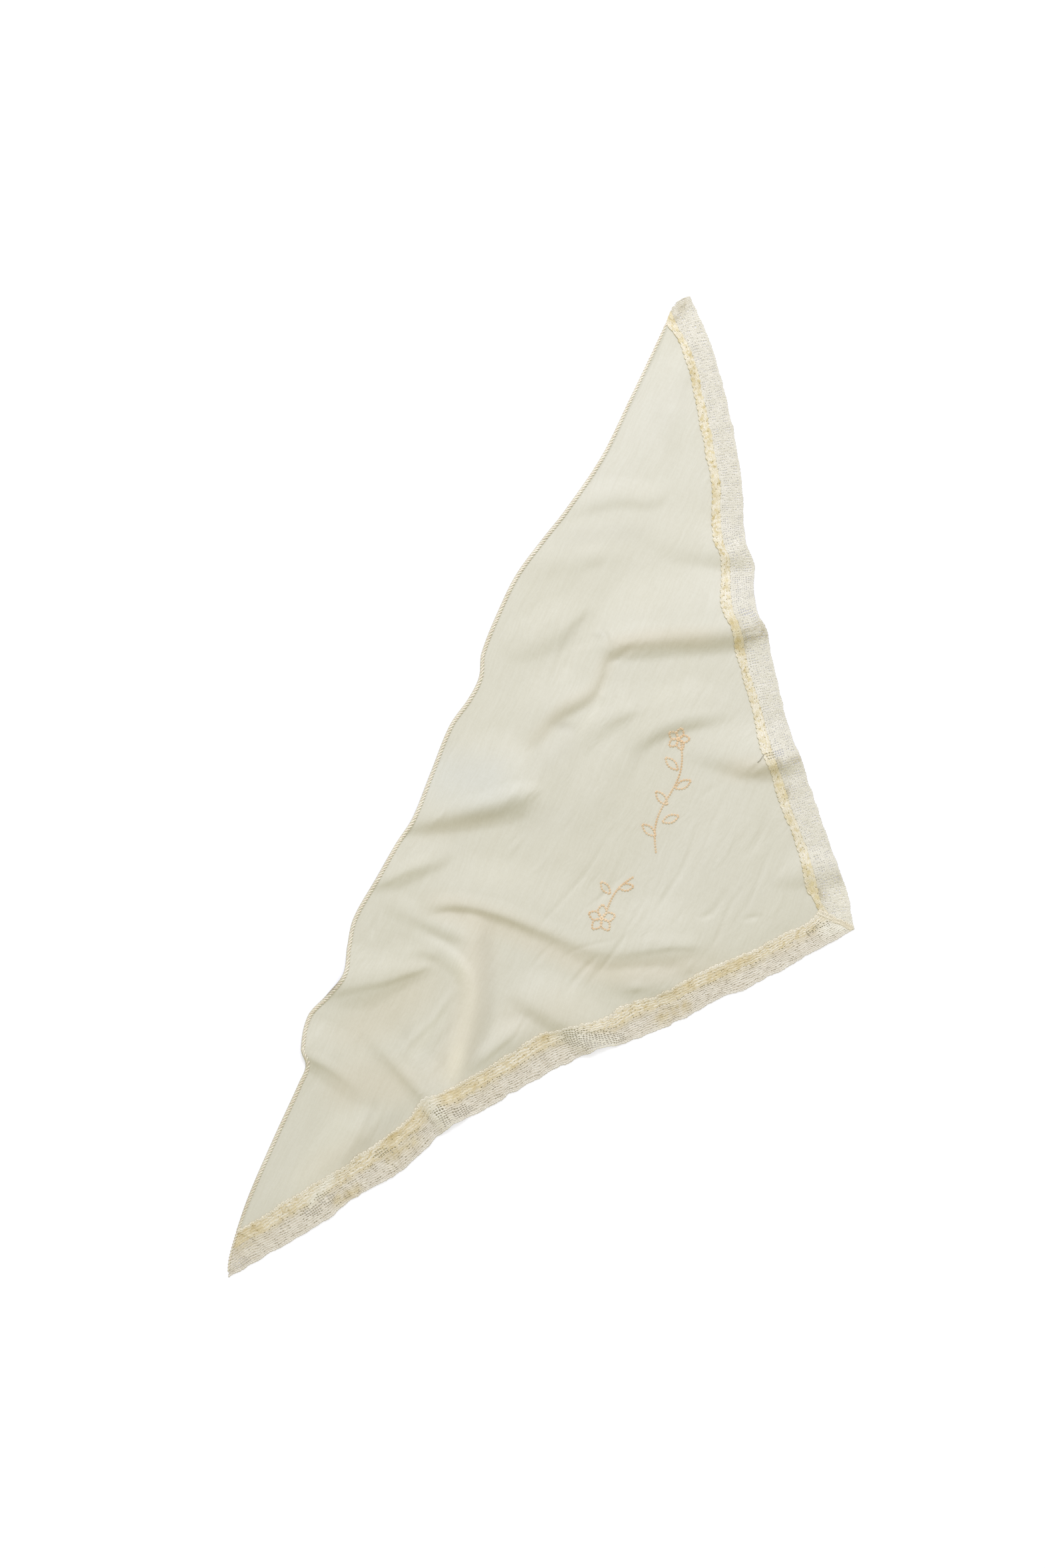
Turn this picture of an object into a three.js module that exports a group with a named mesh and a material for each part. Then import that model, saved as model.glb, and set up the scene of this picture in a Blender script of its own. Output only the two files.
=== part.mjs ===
// Lace bandana, lying loosely on a table: one three-cornered panel of cotton voile with a narrow rolled
// hem along its long side, and two strips of filet lace along its short sides, mitred at the corner.
//
// Frame: millimetres, +X along the hemmed side, the lace corner towards -Y, +Z up.
// Origin: on the table, under the middle of the whole outline.
import * as THREE from "three";

// ---- Driving sizes ----
const clothThickness = 1.0;
const laceThickness = 1.0;
const hemWidth = 3.2; // the long side is rolled and overcast over this width
const hemThickness = 1.7;
const seamGap = 0.3; // lace over cloth, and lace against lace at the mitre
const laceShareOnCloth = 0.36; // how much of the lace's width lies over the cloth's edge
const laceStepDown = 3.0; // beyond the cloth's edge the lace comes down to the table over this
const columnPitch = 9.2; // the surfaces are cut into columns along X and cells along Y
const cellDepth = 9.6;
const tipColumnShare = 0.12; // the first column of bare lace at a tip, as a share of the tip's length

// ---- Outlines: x, y of the points that each line passes through ----
const leftTip = { x: -424, y: 148 };
const rightTip = { x: 424, y: 148 };
const corner = { x: 30, y: -179 };

const hemLine = smoothLine([
  [leftTip.x, leftTip.y], [-412, 153], [-395, 156.5], [-360, 161], [-310, 162.5], [-262, 163],
  [-247, 164.5], [-238, 173], [-212, 179], [-190, 172], [-170, 167.5], [-150, 174], [-128, 179],
  [-90, 176], [-60, 175], [-35, 170.5], [0, 172], [40, 174.3], [66, 169.8], [84, 169.5], [102, 176],
  [145, 178.5], [170, 177], [200, 171], [230, 164], [280, 156], [330, 155.5], [390, 154.5],
  [408, 155.5], [417, 153], [rightTip.x, rightTip.y],
]);
const laceOuterLeft = smoothLine([
  [leftTip.x, leftTip.y], [-410, 138], [-390, 125], [-350, 98], [-330, 87.5], [-290, 61], [-250, 44.5],
  [-240, 39], [-228, 27], [-190, 2], [-155, -24], [-143, -37], [-130, -52], [-90, -88], [-60, -109],
  [-10, -151], [corner.x, corner.y],
]);
const laceOuterRight = smoothLine([
  [corner.x, corner.y], [50, -165], [70, -146], [90, -126], [130, -88], [150, -67], [190, -35],
  [211, -19], [222, -6], [235, 3.5], [256, 13], [268, 26], [310, 49], [350, 77], [390, 109.5],
  [410, 131], [rightTip.x, rightTip.y],
]);
// The inner edge of the lace. At its two ends it runs out into the hem.
const laceEnd = { left: -388, right: 396 };
const laceInner = smoothLine([
  [laceEnd.left, hemLine(laceEnd.left)], [-375, 148], [-340, 126], [-313, 107], [-280, 88], [-250, 73],
  [-232, 69], [-222, 58], [-200, 42], [-180, 28], [-150, 9], [-134, -9], [-118, -30], [-100, -42],
  [-82, -62], [-60, -78], [-30, -104], [0, -129], [corner.x, -148.5], [42, -133], [60, -119],
  [76, -105], [92, -87], [110, -71], [128, -52], [150, -36], [170, -18], [188, -3], [200, 6],
  [214, 22], [235, 31], [250, 40], [258, 49], [280, 60], [300, 70], [320, 85], [350, 107],
  [372, 124], [388, 140], [laceEnd.right, hemLine(laceEnd.right)],
]);

// ---- Folds ----
// Each fold is one soft ridge. Its crest runs through the stations. Looking along the crest, the flank
// on the right is the steep one. At a station the crest stands `rise` above the table, and the two
// flanks reach the table `steep` and `easy` away from the crest.
const crestStepsPerSpan = 6;
const folds = [
  // x, y, rise, steep, easy
  // From the middle of the hem.
  fold([[-52, 186, 0, 8, 24], [-38, 168, 6, 12, 28], [-16, 142, 9.5, 21, 36], [4, 120, 11, 27, 40],
    [20, 101, 9, 31, 40], [34, 76, 0, 28, 32]]),
  // The long one, down the left of the middle.
  fold([[-100, 142, 0, 8, 24], [-88, 128, 4, 11, 32], [-78, 108, 6, 12, 40], [-73, 72, 6.5, 12, 46],
    [-70, 30, 6.5, 12, 50], [-67, -2, 6, 15, 50], [-54, -30, 6, 18, 46], [-36, -58, 5, 18, 40],
    [-18, -92, 0, 14, 30]]),
  // From the dip in the left part of the hem.
  fold([[-180, 194, 0, 24, 24], [-171, 166, 8, 27, 30], [-166, 148, 8.5, 22, 30],
    [-156, 134, 7.5, 15, 26], [-145, 120, 5, 12, 22], [-132, 104, 0, 8, 14]]),
  // Across the right lace.
  fold([[140, 96, 0, 12, 24], [152, 82, 7, 16, 34], [167, 65, 10, 22, 46], [181, 44, 11, 23, 50],
    [196, 20, 11, 23, 50], [212, -2, 10, 23, 46], [232, -28, 0, 20, 36]]),
  // The plateau beside it, with its rim turned up at the end.
  fold([[28, 118, 0, 8, 18], [60, 112, 2.5, 9, 24], [82, 109, 5, 11, 30], [96, 99, 5.5, 12, 34],
    [110, 88, 4.5, 10, 34], [128, 88, 4, 9, 32], [146, 94, 4, 9, 24], [158, 108, 0, 6, 14]]),
  // Two swags under the plateau.
  fold([[60, 68, 0, 10, 18], [86, 67, 2.5, 12, 24], [106, 55, 3, 13, 26], [126, 32, 0, 12, 20]]),
  fold([[74, 44, 0, 8, 18], [96, 35, 3.5, 12, 26], [116, 21, 5.5, 14, 30], [130, 3, 5, 13, 30],
    [144, -20, 0, 8, 20]]),
  // Across the right lace, nearer the corner.
  fold([[106, 4, 0, 12, 20], [112, -20, 3.5, 16, 28], [120, -44, 6.5, 20, 34], [131, -64, 9, 25, 36],
    [141, -80, 8, 25, 32], [152, -98, 0, 20, 26]]),
  // The upright rib, and the short pleat on its left.
  fold([[-106, 166, 0, 6, 12], [-105, 140, 2.5, 9, 16], [-105, 114, 3, 9, 16], [-104, 92, 2.5, 9, 14],
    [-104, 70, 0, 6, 10]]),
  fold([[-144, 144, 0, 5, 10], [-134, 130, 2.5, 8, 12], [-126, 114, 2.5, 7, 12], [-124, 98, 0, 5, 10]]),
  // Two sashes across the left part.
  fold([[-222, 60, 0, 12, 14], [-190, 64, 3.5, 18, 18], [-155, 70, 4.5, 22, 18],
    [-125, 83, 5, 22, 18], [-100, 92, 3.5, 18, 14], [-80, 100, 0, 10, 10]]),
  fold([[-214, 96, 0, 8, 12], [-186, 91, 2, 13, 16], [-158, 88, 2.2, 14, 16], [-130, 98, 1.5, 12, 14],
    [-112, 110, 0, 8, 10]]),
  // From the notch in the hem.
  fold([[-230, 190, 0, 8, 20], [-237, 168, 6, 11, 30], [-239, 148, 5, 12, 32], [-243, 128, 3, 14, 28],
    [-254, 100, 0, 12, 20]]),
  // Across the left lace.
  fold([[-200, 136, 0, 8, 14], [-210, 116, 2, 9, 20], [-217, 94, 3, 11, 24], [-226, 70, 4.5, 13, 26],
    [-236, 50, 5, 14, 24], [-250, 26, 0, 12, 18]]),
  // Along the left lace.
  fold([[-208, 54, 0, 10, 12], [-184, 42, 3.5, 14, 18], [-160, 28, 4.5, 16, 18], [-142, 14, 0, 10, 12]]),
  // Across the left lace, half way down.
  fold([[-126, 46, 0, 10, 20], [-128, 24, 4.5, 15, 30], [-129, -2, 6, 16, 32], [-134, -26, 6, 16, 28],
    [-142, -48, 0, 12, 20]]),
  // The edge of the flat part by the left tip.
  fold([[-340, 118, 0, 10, 20], [-308, 109, 3, 14, 30], [-278, 104, 4, 18, 32], [-254, 102, 0, 14, 24]]),
  // Under the hem, left of the middle.
  fold([[-106, 180, 0, 8, 14], [-91, 166, 3.5, 12, 22], [-75, 150, 4, 13, 26], [-60, 138, 2.5, 12, 20],
    [-44, 132, 0, 8, 14]]),
  // Soft hollows right of the middle, and towards the right tip.
  fold([[106, 160, 0, 10, 18], [124, 144, 2.5, 15, 24], [146, 128, 3.5, 18, 26], [174, 110, 0, 8, 18]]),
  fold([[176, 172, 0, 14, 20], [200, 152, 2, 18, 26], [218, 130, 2, 18, 26], [226, 98, 0, 14, 20]]),
  fold([[230, 162, 0, 6, 12], [250, 142, 2, 9, 18], [261, 124, 2, 9, 18], [270, 104, 2, 10, 16],
    [292, 96, 0, 6, 12]]),
  fold([[240, 134, 0, 10, 18], [241, 98, 1.8, 15, 28], [244, 60, 3, 17, 30], [256, 32, 5, 19, 28],
    [270, 8, 0, 14, 20]]),
  fold([[308, 102, 0, 8, 14], [336, 120, 2.2, 12, 20], [366, 126, 2, 11, 18], [394, 124, 0, 6, 10]]),
  // The low apron below the fold from the middle of the hem.
  fold([[-10, 96, 0, 18, 12], [20, 94, 3, 30, 16], [50, 89, 3.2, 30, 18], [82, 78, 0, 20, 14]]),
  fold([[4, 42, 0, 14, 14], [38, 50, 2.2, 26, 22], [70, 50, 2, 22, 22], [94, 40, 0, 14, 16]]),
  // Beside the left lace, low down.
  fold([[-86, -18, 0, 10, 14], [-77, -38, 4, 18, 18], [-68, -58, 4, 18, 18], [-60, -84, 0, 12, 14]]),
  // Across the right lace, beside the corner.
  fold([[36, -100, 0, 8, 12], [48, -118, 3, 13, 16], [60, -134, 5, 16, 20], [70, -150, 4, 15, 18],
    [80, -166, 0, 10, 14]]),
];
const unionPower = 3; // how softly two folds run into each other

// ---- Lines and heights ----
// A smooth y at any x, through points that are sorted by x.
function smoothLine(points) {
  const slope = (i) => {
    const before = points[Math.max(i - 1, 0)];
    const after = points[Math.min(i + 1, points.length - 1)];
    return (after[1] - before[1]) / (after[0] - before[0]);
  };
  return (x) => {
    let i = 0;
    while (i < points.length - 2 && x > points[i + 1][0]) i += 1;
    const [x0, y0] = points[i];
    const [x1, y1] = points[i + 1];
    const span = x1 - x0;
    const t = THREE.MathUtils.clamp((x - x0) / span, 0, 1);
    const blend = t * t * (3 - 2 * t);
    return (
      y0 + (y1 - y0) * blend +
      slope(i) * span * t * (1 - t) ** 2 - slope(i + 1) * span * t * t * (1 - t)
    );
  };
}

// A fold's stations, filled in to a fine chain: a Catmull-Rom curve in plan, with rise and flank
// widths changing evenly between stations.
function fold(rows) {
  const stations = rows.map(([x, y, rise, steep, easy]) => ({ x, y, rise, steep, easy }));
  const curve = new THREE.CatmullRomCurve3(
    stations.map((s) => new THREE.Vector3(s.x, s.y, 0)), false, "catmullrom", 0.5,
  );
  const spans = stations.length - 1;
  const chain = [];
  for (let k = 0; k <= spans * crestStepsPerSpan; k += 1) {
    const u = k / crestStepsPerSpan;
    const i = Math.min(Math.floor(u), spans - 1);
    const point = curve.getPoint(u / spans);
    const between = (key) => THREE.MathUtils.lerp(stations[i][key], stations[i + 1][key], u - i);
    chain.push({
      x: point.x, y: point.y,
      rise: between("rise"), steep: between("steep"), easy: between("easy"),
    });
  }
  return chain;
}

// The height of one fold over a point: full on the crest, falling smoothly to nothing on each side.
function foldHeight(chain, x, y) {
  let nearest = Infinity;
  let height = 0;
  for (let i = 0; i < chain.length - 1; i += 1) {
    const a = chain[i];
    const b = chain[i + 1];
    const along = { x: b.x - a.x, y: b.y - a.y };
    const off = { x: x - a.x, y: y - a.y };
    const t = THREE.MathUtils.clamp(
      (off.x * along.x + off.y * along.y) / (along.x ** 2 + along.y ** 2), 0, 1,
    );
    const distance = Math.hypot(off.x - t * along.x, off.y - t * along.y);
    if (distance >= nearest) continue;
    nearest = distance;
    const onRight = along.x * off.y - along.y * off.x < 0;
    const flank = onRight ? "steep" : "easy";
    const reach = distance / THREE.MathUtils.lerp(a[flank], b[flank], t);
    height = reach < 1 ? THREE.MathUtils.lerp(a.rise, b.rise, t) * (1 - reach ** 2) ** 2 : 0;
  }
  return height;
}

function clothHeight(x, y) {
  let sum = 0;
  for (const chain of folds) sum += foldHeight(chain, x, y) ** unionPower;
  return sum ** (1 / unionPower);
}

// The point that lies `lift` above the folded surface at x, y, square to it.
function liftedPoint(x, y, lift) {
  const step = 0.5;
  const slopeX = (clothHeight(x + step, y) - clothHeight(x - step, y)) / (2 * step);
  const slopeY = (clothHeight(x, y + step) - clothHeight(x, y - step)) / (2 * step);
  const normal = new THREE.Vector3(-slopeX, -slopeY, 1).normalize();
  return new THREE.Vector3(x, y, clothHeight(x, y)).addScaledVector(normal, lift);
}

// ---- Columns of plan points ----
// A plan point knows how far its lower and upper face stand off the folded surface.
function clothPoint(x, y, thickness = clothThickness) {
  return { x, y, low: 0, high: thickness };
}

function lacePoint(x, y, low) {
  return { x, y, low, high: low + laceThickness };
}

// Evenly spaced x values from one end to the other, close to the pitch.
function columnsBetween(from, to) {
  const count = Math.round(Math.abs(to - from) / columnPitch);
  return Array.from({ length: count + 1 }, (_, i) => from + ((to - from) * i) / count);
}

const laceOuter = (x) => (x < corner.x ? laceOuterLeft(x) : laceOuterRight(x));
const clothEdge = (x) => THREE.MathUtils.lerp(laceInner(x), laceOuter(x), laceShareOnCloth);

// From the hem down to the lace, then under the lace to the cloth's own edge.
function clothColumn(x) {
  const top = hemLine(x);
  const bottom = laceInner(x);
  const edge = clothPoint(x, clothEdge(x));
  if (top - bottom < 2 * hemWidth) {
    const end = clothPoint(x, top);
    return [[end], [end], [end, edge]];
  }
  const hem = clothPoint(x, top, hemThickness);
  const roll = clothPoint(x, top - hemWidth);
  const cells = Math.max(1, Math.round((top - hemWidth - bottom) / cellDepth));
  const field = [roll];
  for (let i = 1; i <= cells; i += 1) {
    field.push(clothPoint(x, THREE.MathUtils.lerp(top - hemWidth, bottom, i / cells)));
  }
  return [[hem, roll], field, [field.at(-1), edge]];
}

// Over the cloth's edge, then down beside it and out to the lace's free edge.
function laceColumn(x, seenFrom = x) {
  const onCloth = clothThickness + seamGap;
  const inner = lacePoint(x, laceInner(seenFrom), onCloth);
  const edge = lacePoint(x, clothEdge(seenFrom), onCloth);
  const foot = lacePoint(x, clothEdge(seenFrom) - laceStepDown, 0);
  const outer = lacePoint(x, laceOuter(seenFrom), 0);
  return [[inner, edge], [edge, foot, outer]];
}

// Past the end of the cloth the lace lies on the table between the hem's line and its free edge.
function laceTipColumns(end, tip) {
  const xs = columnsBetween(end, tip.x).slice(1, -1);
  xs.unshift(THREE.MathUtils.lerp(end, tip.x, tipColumnShare));
  const columns = xs.map((x) => {
    const top = lacePoint(x, hemLine(x), 0);
    return [[top], [top, lacePoint(x, laceOuter(x), 0)]];
  });
  const point = lacePoint(tip.x, tip.y, 0);
  return [...columns, [[point], [point]]];
}

// ---- Solids ----
// Triangles between two runs of points, each going down in y, the first run on the left.
function zip(left, right) {
  const triangles = [];
  let i = 0;
  let j = 0;
  while (i < left.length - 1 || j < right.length - 1) {
    const nextLeft = i < left.length - 1 ? (i + 1) / (left.length - 1) : Infinity;
    const nextRight = j < right.length - 1 ? (j + 1) / (right.length - 1) : Infinity;
    if (nextLeft <= nextRight) {
      triangles.push([left[i], left[i + 1], right[j]]);
      i += 1;
    } else {
      triangles.push([left[i], right[j + 1], right[j]]);
      j += 1;
    }
  }
  return triangles;
}

// A closed sheet over the columns: upper face, lower face, and a wall along every free edge.
function sheetGeometry(columns) {
  const plan = [];
  for (let c = 0; c < columns.length - 1; c += 1) {
    columns[c].forEach((run, r) => plan.push(...zip(run, columns[c + 1][r])));
  }
  const numbers = new Map();
  const positions = [];
  const cornersOf = (point) => {
    if (!numbers.has(point)) {
      numbers.set(point, numbers.size);
      positions.push(...liftedPoint(point.x, point.y, point.low).toArray());
      positions.push(...liftedPoint(point.x, point.y, point.high).toArray());
    }
    const first = 2 * numbers.get(point);
    return { lower: first, upper: first + 1 };
  };
  const faces = [];
  const edges = new Map();
  for (const triangle of plan) {
    const [a, b, c] = triangle.map(cornersOf);
    faces.push(a.upper, b.upper, c.upper, a.lower, c.lower, b.lower);
    for (const [p, q] of [[a, b], [b, c], [c, a]]) {
      if (!edges.delete(`${q.lower} ${p.lower}`)) edges.set(`${p.lower} ${q.lower}`, [p, q]);
    }
  }
  for (const [p, q] of edges.values()) {
    faces.push(p.upper, p.lower, q.lower, p.upper, q.lower, q.upper);
  }
  const geometry = new THREE.BufferGeometry();
  geometry.setAttribute("position", new THREE.Float32BufferAttribute(positions, 3));
  geometry.setIndex(faces);
  return geometry;
}

// ---- Materials and pieces ----
const voile = new THREE.MeshStandardMaterial({ color: 0xe2e0d4, roughness: 0.95, metalness: 0 });
const lace = new THREE.MeshStandardMaterial({ color: 0xe6dfcf, roughness: 0.95, metalness: 0 });

function piece(name, columns, material) {
  const mesh = new THREE.Mesh(sheetGeometry(columns), material);
  mesh.name = name;
  return mesh;
}

const leftColumns = columnsBetween(laceEnd.left, corner.x);
const rightColumns = columnsBetween(corner.x, laceEnd.right);
const mitre = { left: corner.x - seamGap / 2, right: corner.x + seamGap / 2 };

const panel = [...leftColumns, ...rightColumns.slice(1)].map(clothColumn);
const laceLeft = [
  ...laceTipColumns(laceEnd.left, leftTip).reverse(),
  ...leftColumns.slice(0, -1).map((x) => laceColumn(x)),
  laceColumn(mitre.left, corner.x),
];
const laceRight = [
  laceColumn(mitre.right, corner.x),
  ...rightColumns.slice(1).map((x) => laceColumn(x)),
  ...laceTipColumns(laceEnd.right, rightTip),
];

const bandana = new THREE.Group();
bandana.add(piece("panel", panel, voile));
bandana.add(piece("lace_left", laceLeft, lace));
bandana.add(piece("lace_right", laceRight, lace));

export default bandana;
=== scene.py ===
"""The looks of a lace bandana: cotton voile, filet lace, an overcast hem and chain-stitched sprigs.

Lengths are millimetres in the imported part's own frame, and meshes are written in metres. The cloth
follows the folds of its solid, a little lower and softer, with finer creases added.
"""

import math

import bpy
import numpy as np
from mathutils import Matrix, Vector


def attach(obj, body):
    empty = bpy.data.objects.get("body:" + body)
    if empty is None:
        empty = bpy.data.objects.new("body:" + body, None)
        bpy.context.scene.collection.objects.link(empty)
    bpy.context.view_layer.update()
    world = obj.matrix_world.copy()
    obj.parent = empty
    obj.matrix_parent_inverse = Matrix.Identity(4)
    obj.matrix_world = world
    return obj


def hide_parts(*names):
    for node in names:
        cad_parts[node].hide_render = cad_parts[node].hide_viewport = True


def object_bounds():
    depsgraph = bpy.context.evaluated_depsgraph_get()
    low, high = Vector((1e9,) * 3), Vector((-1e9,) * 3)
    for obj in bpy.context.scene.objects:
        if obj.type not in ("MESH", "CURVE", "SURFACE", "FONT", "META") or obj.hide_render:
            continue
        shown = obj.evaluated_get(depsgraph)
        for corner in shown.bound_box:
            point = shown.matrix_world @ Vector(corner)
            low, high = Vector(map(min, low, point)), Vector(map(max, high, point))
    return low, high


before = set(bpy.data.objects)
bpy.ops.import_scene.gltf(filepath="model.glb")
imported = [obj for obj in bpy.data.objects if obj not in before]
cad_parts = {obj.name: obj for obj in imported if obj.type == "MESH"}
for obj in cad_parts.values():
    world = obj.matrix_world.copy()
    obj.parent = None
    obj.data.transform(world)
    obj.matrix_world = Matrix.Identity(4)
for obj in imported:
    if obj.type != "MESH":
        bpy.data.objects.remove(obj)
cad_low, cad_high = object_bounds()

MM = 0.001
LEFT_X, RIGHT_X = cad_low.x / MM, cad_high.x / MM
CORNER_Y, TOP_Y = cad_low.y / MM, cad_high.y / MM
TIP_Y = 148.0
CORNER_X = 30.0
UP = np.array([0.0, 0.0, 1.0])

# ---- Sizes ----
CLOTH_THICKNESS = 0.35
WRINKLE_HEIGHT = 0.0007
CLOTH_CELL = 1.4
UNDERSIDE_CELL = 3.0
HEM_WIDTH = 3.2
HEM_BULGE = 0.55
HEM_ROWS = 6
HEM_STITCH_PITCH = 2.65
MITRE_PITCH = 0.9
STITCH_PITCH = 2.15
LACE_CELL = 1.92
LACE_WIDTH = 27.0
LACE_ON_CLOTH_LEFT = 0.44
LACE_ON_CLOTH_RIGHT = 0.34
LACE_STEP_DOWN = 3.0
BELOW_HEM = 0.4
LACE_GAP = 0.03
FLOOR_GAP = 0.06

# ---- Camera: straight above the cloth, with the hem running up the picture ----
CAMERA_OVER = (22.7, 103.2)
PICTURE_UP = np.array([0.9057, 0.4240, 0.0])
PICTURE_HEIGHT = 1223.0
LENS = 85.0
SENSOR = 36.0

# ---- Light: a white sheet flat on the table, under the lamp and the world, renders as 1 ----
LAMP_SHARE = 0.33
LAMP_COLOUR = (1.0, 1.04, 1.32)
LAMP_AZIMUTH = 25.1
LAMP_ELEVATION = 38.0
LAMP_DISTANCE = 2.3
LAMP_SIZE = 1.1
LAMP_OVER = Vector((0, 0.05, 0))
WORLD_COLOUR = (1.0, 0.98, 0.842)
FLOOR_SIZE = 12000.0
FLOOR_WHITE = (0.66, 0.66, 0.66)
FLOOR_GLOW = (0.50, 0.50, 0.54)
# The floor's glow where the left strip's net covers it, a painted shade.
SHADED_GLOW = (0.40, 0.34, 0.17)
FLOOR_BOUNCE = (0.42, 0.37, 0.29)
BLACK, WHITE = (0, 0, 0), (1, 1, 1)


def eased(t):
    """From 0 to 1 with a soft start and end."""
    return t * t * (3 - 2 * t)


def smooth_line(*numbers):
    """A smooth y at any x, through points given as x, y, x, y and so on, sorted by x."""
    px, py = np.reshape(numbers, (-1, 2)).T
    before = np.r_[0, np.arange(len(px) - 1)]
    after = np.r_[np.arange(1, len(px)), len(px) - 1]
    slopes = (py[after] - py[before]) / (px[after] - px[before])

    def line(x):
        x = np.asarray(x, float)
        i = np.clip(np.searchsorted(px, x, side="right") - 1, 0, len(px) - 2)
        span = px[i + 1] - px[i]
        t = np.clip((x - px[i]) / span, 0, 1)
        bend = slopes[i] * span * t * (1 - t) ** 2 - slopes[i + 1] * span * t * t * (1 - t)
        return py[i] + (py[i + 1] - py[i]) * eased(t) + bend

    return line


# ---- Outlines, on those of the solids ----
# Many points of the hem and of the lace's outer edge stand on readings of the photo's edge, which a
# program took every 20 mm, rounded. Those at the bends and on the inner edge are set one by one.
hem_line = smooth_line(
    LEFT_X, TIP_Y, -412, 153, -395, 156.5, -360, 160.6, -310, 162.1, -262, 162.5, -247, 163.6,
    -238, 171.8, -212, 178.3, -190, 171.6, -170, 167.2, -150, 173.4, -128, 178.4, -90, 175.4, -60, 173,
    -38, 169.8, 0, 172, 40, 174.2, 66, 169.8, 84, 169.5, 102, 175.7, 145, 178, 170, 177, 200, 171,
    230, 164, 280, 156, 327, 155, 390, 154.5, 408, 155.5, 417, 153, RIGHT_X, TIP_Y,
)
lace_outer_left = smooth_line(
    LEFT_X, TIP_Y, -410, 138, -390, 125, -350, 98, -330, 87.5, -290, 61, -250, 44.5, -240, 39,
    -228, 28.5, -190, 2, -155, -24, -145, -33.5, -139, -38, -132, -48, -124, -57.5, -90, -88,
    -62, -108.5, -50, -121, -36, -132, -10, -151, CORNER_X, CORNER_Y,
)
lace_outer_right = smooth_line(
    CORNER_X, CORNER_Y, 50, -165, 70, -146, 90, -126, 130, -88, 150, -67, 190, -35, 211, -19, 222, -6,
    235, 3.5, 256, 13, 268, 26, 310, 49, 350, 77, 390, 109.5, 410, 131, RIGHT_X, TIP_Y,
)
LACE_END_LEFT, LACE_END_RIGHT = -388.0, 396.0
lace_inner = smooth_line(
    LACE_END_LEFT, float(hem_line(LACE_END_LEFT)), -375, 148, -340, 126, -313, 107, -280, 88, -250, 73,
    -232, 69, -222, 58, -200, 42, -180, 28, -150, 9, -134, -9, -118, -30, -100, -42, -82, -62,
    -60, -78, -30, -104, 0, -129, CORNER_X, -148.5, 42, -133, 60, -119, 76, -105, 92, -87, 110, -71,
    128, -52, 150, -36, 170, -18, 188, -3, 200, 6, 214, 22, 235, 31, 250, 40, 258, 49, 280, 60,
    300, 70, 320, 85, 350, 107, 372, 124, 388, 140, LACE_END_RIGHT, float(hem_line(LACE_END_RIGHT)),
)


def lace_outer(x):
    return np.where(np.asarray(x) < CORNER_X, lace_outer_left(x), lace_outer_right(x))


def cloth_edge(x):
    """The cloth's own edge, under the lace."""
    share = np.interp(x, [CORNER_X - 20, CORNER_X], [LACE_ON_CLOTH_LEFT, LACE_ON_CLOTH_RIGHT])
    return lace_inner(x) + (lace_outer(x) - lace_inner(x)) * share


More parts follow.
